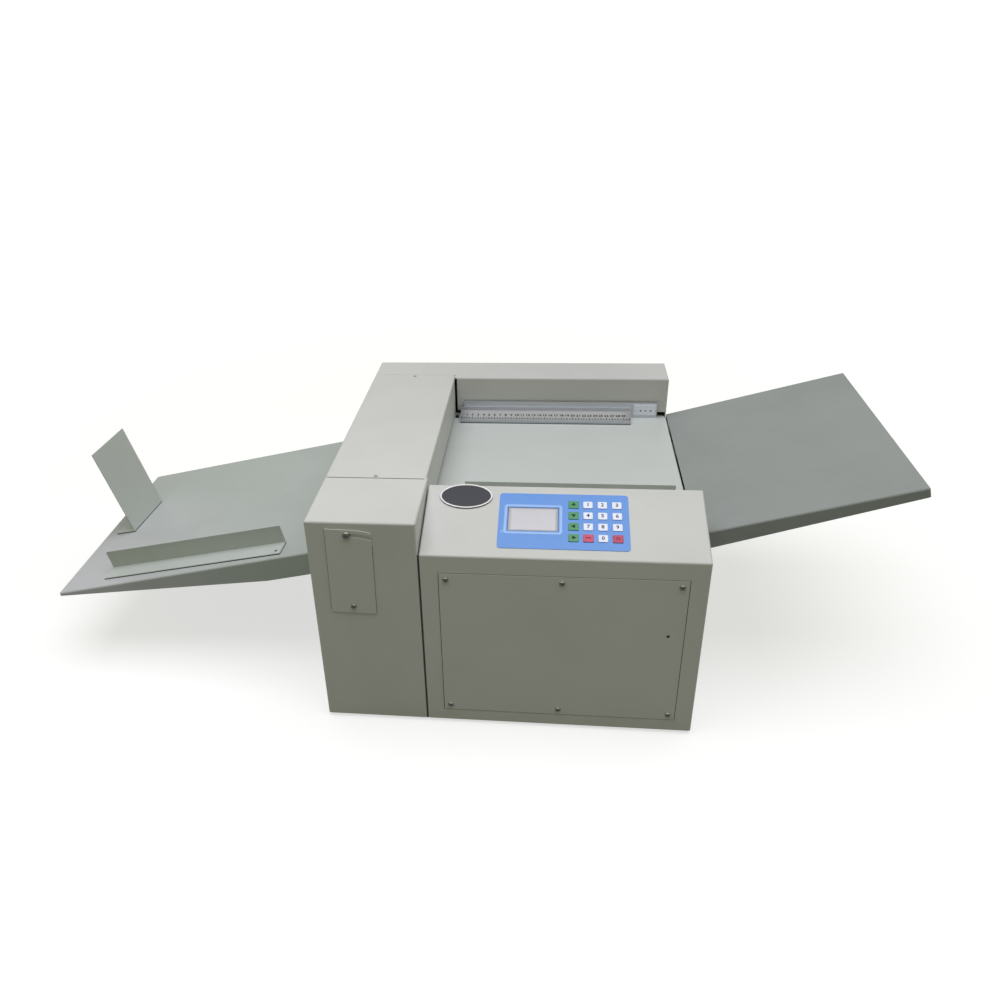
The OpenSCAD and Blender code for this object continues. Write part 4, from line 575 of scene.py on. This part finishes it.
def make_display():
    """Display face set in its window, the raised film bead round it, and two lamp marks."""
    half = np.array(WINDOW_SIZE) / 2
    face = soft_rectangle(WINDOW_MID, half - FACE_IN, radius=0.8)
    patch_piece("display_face", SLOPE, face, GLASS, *ON_FILM,
                lift=0.45, rise=0.1, thick=1.0, crown=10)
    bead = soft_rectangle(WINDOW_MID, half + FILM_BEAD_OUT, radius=3.0)
    rim_piece("window_bead", SLOPE, bead, FILM_RIM, *ON_FILM,
              width=4.2, height=0.5, lift=PAD_TOP - BEAD_SUNK)
    ring = ellipse(LAMP_RING, (LAMP_RING_R, LAMP_RING_R), count=32)
    rim_piece("lamp_ring", SLOPE, ring, FILM_RIM, *ON_FILM,
              width=0.9, height=0.12, lift=PAD_TOP - BEAD_SUNK)
    dot = ellipse(LAMP_DOT, (LAMP_DOT_R, LAMP_DOT_R), count=24)
    patch_piece("lamp_dot", SLOPE, dot, FILM_MARK, *ON_FILM,
                lift=PAD_TOP + LAMP_DOT_LIFT, rise=0.05, thick=0.04)


def make_badge():
    """Bare oval badge on the box's left: a thick dark plate, crowned inside a white bead."""
    plate = ellipse(BADGE_MID, BADGE_HALF)
    patch_piece("badge_face", SLOPE, plate, BADGE, "frame", "black_plastic",
                lift=BADGE_T, rise=0.35, thick=BADGE_T, crown=2.5, rings=10)
    bead = ellipse(BADGE_MID, np.array(BADGE_HALF) - BEAD_IN)
    rim_piece("badge_bead", SLOPE, bead, BADGE_RIM, "frame", "key_white",
              width=BEAD_W, height=0.5, lift=BADGE_T)


def make_ruler():
    """Scale on the ruler bar: a pale strip, a mark at every millimetre and a figure at every tenth;
    and a dark strip under its front edge, painted contact shadow on the deck."""
    low, high = np.array(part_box("ruler_bar"))
    depth = (high[1] - low[1]) / MM - RULER_SPINE
    climb = RULER_BACK_H - RULER_FRONT_H
    length, run = (high[0] - low[0]) / MM, math.hypot(depth, climb)
    face = Place((low[0], low[1], low[2] + RULER_FRONT_H * MM), (1, 0, 0), (0, depth, climb))
    half = np.array([length, run]) / 2
    strip = soft_rectangle(half, half - SCALE_IN, radius=0.5)
    patch_piece("ruler_scale", face, strip, SCALE, *ON_GUIDE,
                lift=SCALE_LIFT, rise=0.0, thick=SCALE_LIFT)
    first = (length - MARKS) / 2
    mark = np.arange(MARKS + 1)
    tens, fives = (mark % 10 == 0)[:, None], (mark % 5 == 0)[:, None]
    size = np.where(tens, TEN_MARK, np.where(fives, FIVE_MARK, ONE_MARK))
    marks = bars(first + mark, np.full(len(mark), MARK_FOOT), *size.T)
    print_piece("ruler_marks", face, [(*marks, 0.0, 0.0)], INK, *ON_GUIDE, lift=SCALE_INK_LIFT)
    figures = [(*lettering(str(n), SCALE_FIGURE, SCALE_BOLD), first + 10.0 * n, SCALE_FIGURE_H)
               for n in range(1, MARKS // 10)]
    print_piece("ruler_figures", face, figures, INK, *ON_GUIDE, lift=SCALE_INK_LIFT)
    # painted contact shadow: a dark strip under the bar that juts out in front of it
    under = Place(low, (1, 0, 0), (0, 1, 0))
    shadow_strip = soft_rectangle((length / 2, -1.0), (length / 2, 1.4), radius=0.3)
    patch_piece("ruler_contact_shadow", under, shadow_strip, SHADE_GREY, "rear_guide", "black_rubber",
                lift=-0.08, rise=0.04, thick=0.08)


def make_fence_label():
    """Pale label on the fence's free end, with three marks and two pins."""
    low, high = np.array(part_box("rear_fence"))
    face = Place((high[0], low[1], low[2]), (1, 0, 0), (0, 0, 1))
    label = soft_rectangle(LABEL_MID, LABEL_HALF, radius=0.8)
    patch_piece("fence_label", face, label, LABEL, *ON_GUIDE, lift=0.08, rise=0.02, thick=0.08)
    for index, (x, half) in enumerate(LABEL_MARKS):
        mark = ellipse((x, LABEL_MARK_H), (half, LABEL_MARK_FLAT * half), count=20)
        patch_piece(f"fence_mark_{index}", face, mark, LABEL_INK, *ON_GUIDE,
                    lift=0.14, rise=0.02, thick=0.03)


def make_cover_seam():
    """Painted shadow: a dark line along the inspection cover's left, lower and right edge."""
    across = (math.cos(COVER_TILT), 0, -math.sin(COVER_TILT))
    up = (math.sin(COVER_TILT), 0, math.cos(COVER_TILT))
    cover = place_at(COVER_PIVOT[0], 0.0, COVER_PIVOT[1], across, up)
    left, under, right = COVER_SHADOW_LINE
    shadow_bars = bars(np.array([-COVER_HALF_W - left / 2, 0.0, COVER_HALF_W + right / 2]),
                np.array([-COVER_DOWN, -COVER_DOWN - under, -COVER_DOWN]),
                np.array([left, 2 * COVER_HALF_W + left, right]),
                np.array([COVER_DOWN + COVER_UP, under, COVER_DOWN + COVER_SLOT]))
    print_piece("cover_shadow_line", cover, [(*shadow_bars, 0.0, 0.0)], SHADOW_LINE_GREY, "inspection_door", "black_rubber",
                lift=0.1)


def make_panel_seams():
    """Dark sheets of painted shade in the gap round the access panel and over its sight hole."""
    low, high = np.array(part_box("access_panel"))
    panel = Place((low[0], CORNER[1], low[2]), (1, 0, 0), (0, 0, 1))
    half = np.array([high[0] - low[0], high[2] - low[2]]) / MM / 2
    gap = soft_rectangle(half, half + PANEL_GAP / 2, PANEL_ROUND)
    # painted shade: a near-black bead lying in the panel's gap
    rim_piece("panel_gap", panel, gap, SHADE_BLACK, *IN_SEAM,
              width=SHADE_FILL * PANEL_GAP, height=0.04, lift=SHADE_LIFT - PANEL_BACK)
    sight = ellipse(2 * half - np.array([SIGHT_IN, SIGHT_DOWN]), (SIGHT_R, SIGHT_R), count=40)
    patch_piece("sight_hole_shade", panel, sight, SHADE_BLACK, *IN_SEAM, lift=0.1, rise=0.02, thick=0.04)


def make_casing_seams():
    """Dark sheet of painted shade in the gap between tower and control box, and a strip of painted
    shadow on the tower's top along the bridge's front edge."""
    shade_left, shade_top = TOWER_W + BOX_GAP / 2 - BOX_GAP_SHADE / 2, BOX_FRONT_H - GAP_SHADE_DOWN
    front = place_at(shade_left, GAP_SHADE_BACK, shade_top, (1, 0, 0), (0, 0, 1))
    # painted shade: a near-black sheet standing in the gap
    plate_piece("box_gap_shade", front, SHADE_BLACK, *IN_SEAM,
                width=BOX_GAP_SHADE, height=shade_top + GAP_SHADE_FOOT, thick=SHADE_SHEET_T)
    top = place_at(BRIDGE_IN, BRIDGE_FRONT, BODY_H + SHADE_SHEET_T, (1, 0, 0), (0, 1, 0))
    # painted shadow: a dark strip on the tower's top along the bridge
    plate_piece("bridge_shadow_line", top, SHADE_BLACK, *IN_SEAM,
                width=BRIDGE_W - 2 * BRIDGE_IN, height=BRIDGE_SHADOW_W, thick=SHADE_SHEET_T)


def make_deck_pits():
    """Dark discs on the deck's enamel, painted shade of two small pits."""
    deck = place_at(0.0, 0.0, DECK_H, (1, 0, 0), (0, 1, 0))
    for index, spot in enumerate(DECK_PITS):
        # painted shade: a flat dark disc where each pit is
        patch_piece(f"deck_pit_{index}", deck, ellipse(spot, (PIT_R, PIT_R), count=16), SHADE_GREY,
                    "frame", "deck_paint", lift=0.02, rise=0.01, thick=0.02)


def make_table_hems():
    """Hems turned down under the feed table's near edge, before and behind its hooks."""
    for index, (start, end, depth) in enumerate(TABLE_HEMS):
        edge = place_at(TABLE_X, end, DECK_H - HEM_DOWN, (0, -1, 0), (0, 0, 1))
        plate_piece(f"table_hem_{index}", edge, TABLE, "table", "table_paint",
                    width=end - start, height=depth, thick=HEM_T)


def make_springs():
    """Return springs: a wire of radius w swept along a helix of radius r, r + w * cos(b) off its
    axis at the angle a and rise * t + w * sin(b) high, with its ends closed."""
    low, high = np.array(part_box("return_springs")) / MM
    outer = (high[0] - low[0]) / 2
    rise = high[2] - low[2] - 2 * SPRING_WIRE
    steps, sides = SPRING_STEPS * SPRING_TURNS + 1, SPRING_SIDES
    t = np.linspace(0, 1, steps)[:, None]
    a, b = 2 * np.pi * SPRING_TURNS * t, -2 * np.pi * np.arange(sides) / sides
    out = outer - SPRING_WIRE + SPRING_WIRE * np.cos(b)
    height = rise * t + SPRING_WIRE * np.sin(b)
    wire = np.stack([out * np.cos(a), out * np.sin(a), height], -1).reshape(-1, 3)
    skin = grid_faces(steps, sides)
    skin += [list(range(sides))[::-1], list(range((steps - 1) * sides, steps * sides))]
    points, faces = [], []
    for index, y in enumerate((low[1] + outer, high[1] - outer)):
        points.append(wire + np.array([low[0] + outer, y, low[2] + SPRING_WIRE]))
        faces += [[corner + index * len(wire) for corner in face] for face in skin]
    piece = new_piece("spring_wire", MM * np.concatenate(points), faces, STEEL, "frame")
    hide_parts("return_springs")
    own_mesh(piece)


def background_ray(tree):
    """1 for rays that show the background: camera, glossy and transmission rays."""
    path = tree.nodes.new("ShaderNodeLightPath")
    first = tree.nodes.new("ShaderNodeMath")
    both = tree.nodes.new("ShaderNodeMath")
    first.operation = both.operation = "MAXIMUM"
    tree.links.new(path.outputs["Is Camera Ray"], first.inputs[0])
    tree.links.new(path.outputs["Is Glossy Ray"], first.inputs[1])
    tree.links.new(first.outputs[0], both.inputs[0])
    tree.links.new(path.outputs["Is Transmission Ray"], both.inputs[1])
    return both.outputs[0]


def make_floor():
    """Floor that bounces dim light onto the part and shows as pale paper, brighter far out."""
    mesh = bpy.data.meshes.new("floor")
    corners = FLOOR_HALF * np.array([[-1, -1, 0], [1, -1, 0], [1, 1, 0], [-1, 1, 0]])
    mesh.from_pydata(corners.tolist(), [], [(0, 1, 2, 3)])
    floor = bpy.data.objects.new("floor", mesh)
    bpy.context.scene.collection.objects.link(floor)
    mat, tree, shader = finish("floor_paper", FLOOR_ROUGH)
    shader.inputs["Base Color"].default_value = FLOOR_BOUNCE
    shown = tree.nodes.new("ShaderNodeBsdfDiffuse")
    shown.inputs["Color"].default_value = FLOOR_SHOWN
    coords = tree.nodes.new("ShaderNodeTexCoord")
    reach = tree.nodes.new("ShaderNodeVectorMath")
    reach.operation = "LENGTH"
    tree.links.new(coords.outputs["Object"], reach.inputs[0])
    glow = tree.nodes.new("ShaderNodeMapRange")
    glow.interpolation_type = "SMOOTHSTEP"
    for socket, value in FLOOR_GLOW.items():
        glow.inputs[socket].default_value = value
    tree.links.new(reach.outputs["Value"], glow.inputs["Value"])
    white = tree.nodes.new("ShaderNodeEmission")
    tree.links.new(glow.outputs["Result"], white.inputs["Strength"])
    paper = tree.nodes.new("ShaderNodeAddShader")
    tree.links.new(shown.outputs[0], paper.inputs[0])
    tree.links.new(white.outputs[0], paper.inputs[1])
    mix = tree.nodes.new("ShaderNodeMixShader")
    tree.links.new(background_ray(tree), mix.inputs[0])
    tree.links.new(shader.outputs[0], mix.inputs[1])
    tree.links.new(paper.outputs[0], mix.inputs[2])
    tree.links.new(mix.outputs[0], tree.nodes["Material Output"].inputs["Surface"])
    floor.data.materials.append(mat)


def make_light():
    """Dim surround for bounced light, which shows as white, and one wide lamp overhead."""
    scene = bpy.context.scene
    world = bpy.data.worlds.new("room")
    scene.world = world
    world.use_nodes = True
    tree = world.node_tree
    tree.nodes.clear()
    output = tree.nodes.new("ShaderNodeOutputWorld")
    dim = tree.nodes.new("ShaderNodeBackground")
    bright = tree.nodes.new("ShaderNodeBackground")
    dim.inputs["Color"].default_value = ROOM_LIGHT
    bright.inputs["Color"].default_value = ROOM_SHOWN
    blend = tree.nodes.new("ShaderNodeMixShader")
    tree.links.new(background_ray(tree), blend.inputs[0])
    tree.links.new(dim.outputs[0], blend.inputs[1])
    tree.links.new(bright.outputs[0], blend.inputs[2])
    tree.links.new(blend.outputs[0], output.inputs["Surface"])
    lamp = bpy.data.lights.new("overhead", "AREA")
    lamp.shape, lamp.energy, lamp.color = "RECTANGLE", LAMP_POWER, LAMP_COLOUR
    lamp.size, lamp.size_y = LAMP_SIZE
    holder = bpy.data.objects.new("overhead", lamp)
    holder.location = LAMP_PLACE
    scene.collection.objects.link(holder)


def make_camera():
    """The photograph's camera, and colours shown as they are."""
    def turn(axis, angle):
        return np.array(Matrix.Rotation(angle, 3, axis))

    scene = bpy.context.scene
    scene.view_settings.view_transform = "Standard"
    data = bpy.data.cameras.new("camera")
    data.sensor_width, data.lens = SENSOR, SENSOR * FOCAL_PX / FRAME_PX
    data.shift_x = 0.5 - CENTRE_PX[0] / FRAME_PX
    data.shift_y = CENTRE_PX[1] / FRAME_PX - 0.5
    data.clip_end = CLIP_END
    camera = bpy.data.objects.new("camera", data)
    view = turn("Z", CAMERA_YAW) @ turn("X", CAMERA_PITCH) @ turn("Y", CAMERA_ROLL)
    axes = np.stack([view[:, 0], view[:, 2], -view[:, 1]], 1)
    place = Matrix.Translation(Vector(CORNER + MM * np.array(CAMERA_PLACE)))
    camera.matrix_world = place @ Matrix(axes).to_4x4()
    scene.collection.objects.link(camera)
    scene.camera = camera


dress_nodes()
make_key_prints()
make_display()
make_badge()
make_ruler()
make_fence_label()
make_cover_seam()
make_panel_seams()
make_casing_seams()
make_deck_pits()
make_table_hems()
make_springs()
make_floor()
make_light()
make_camera()
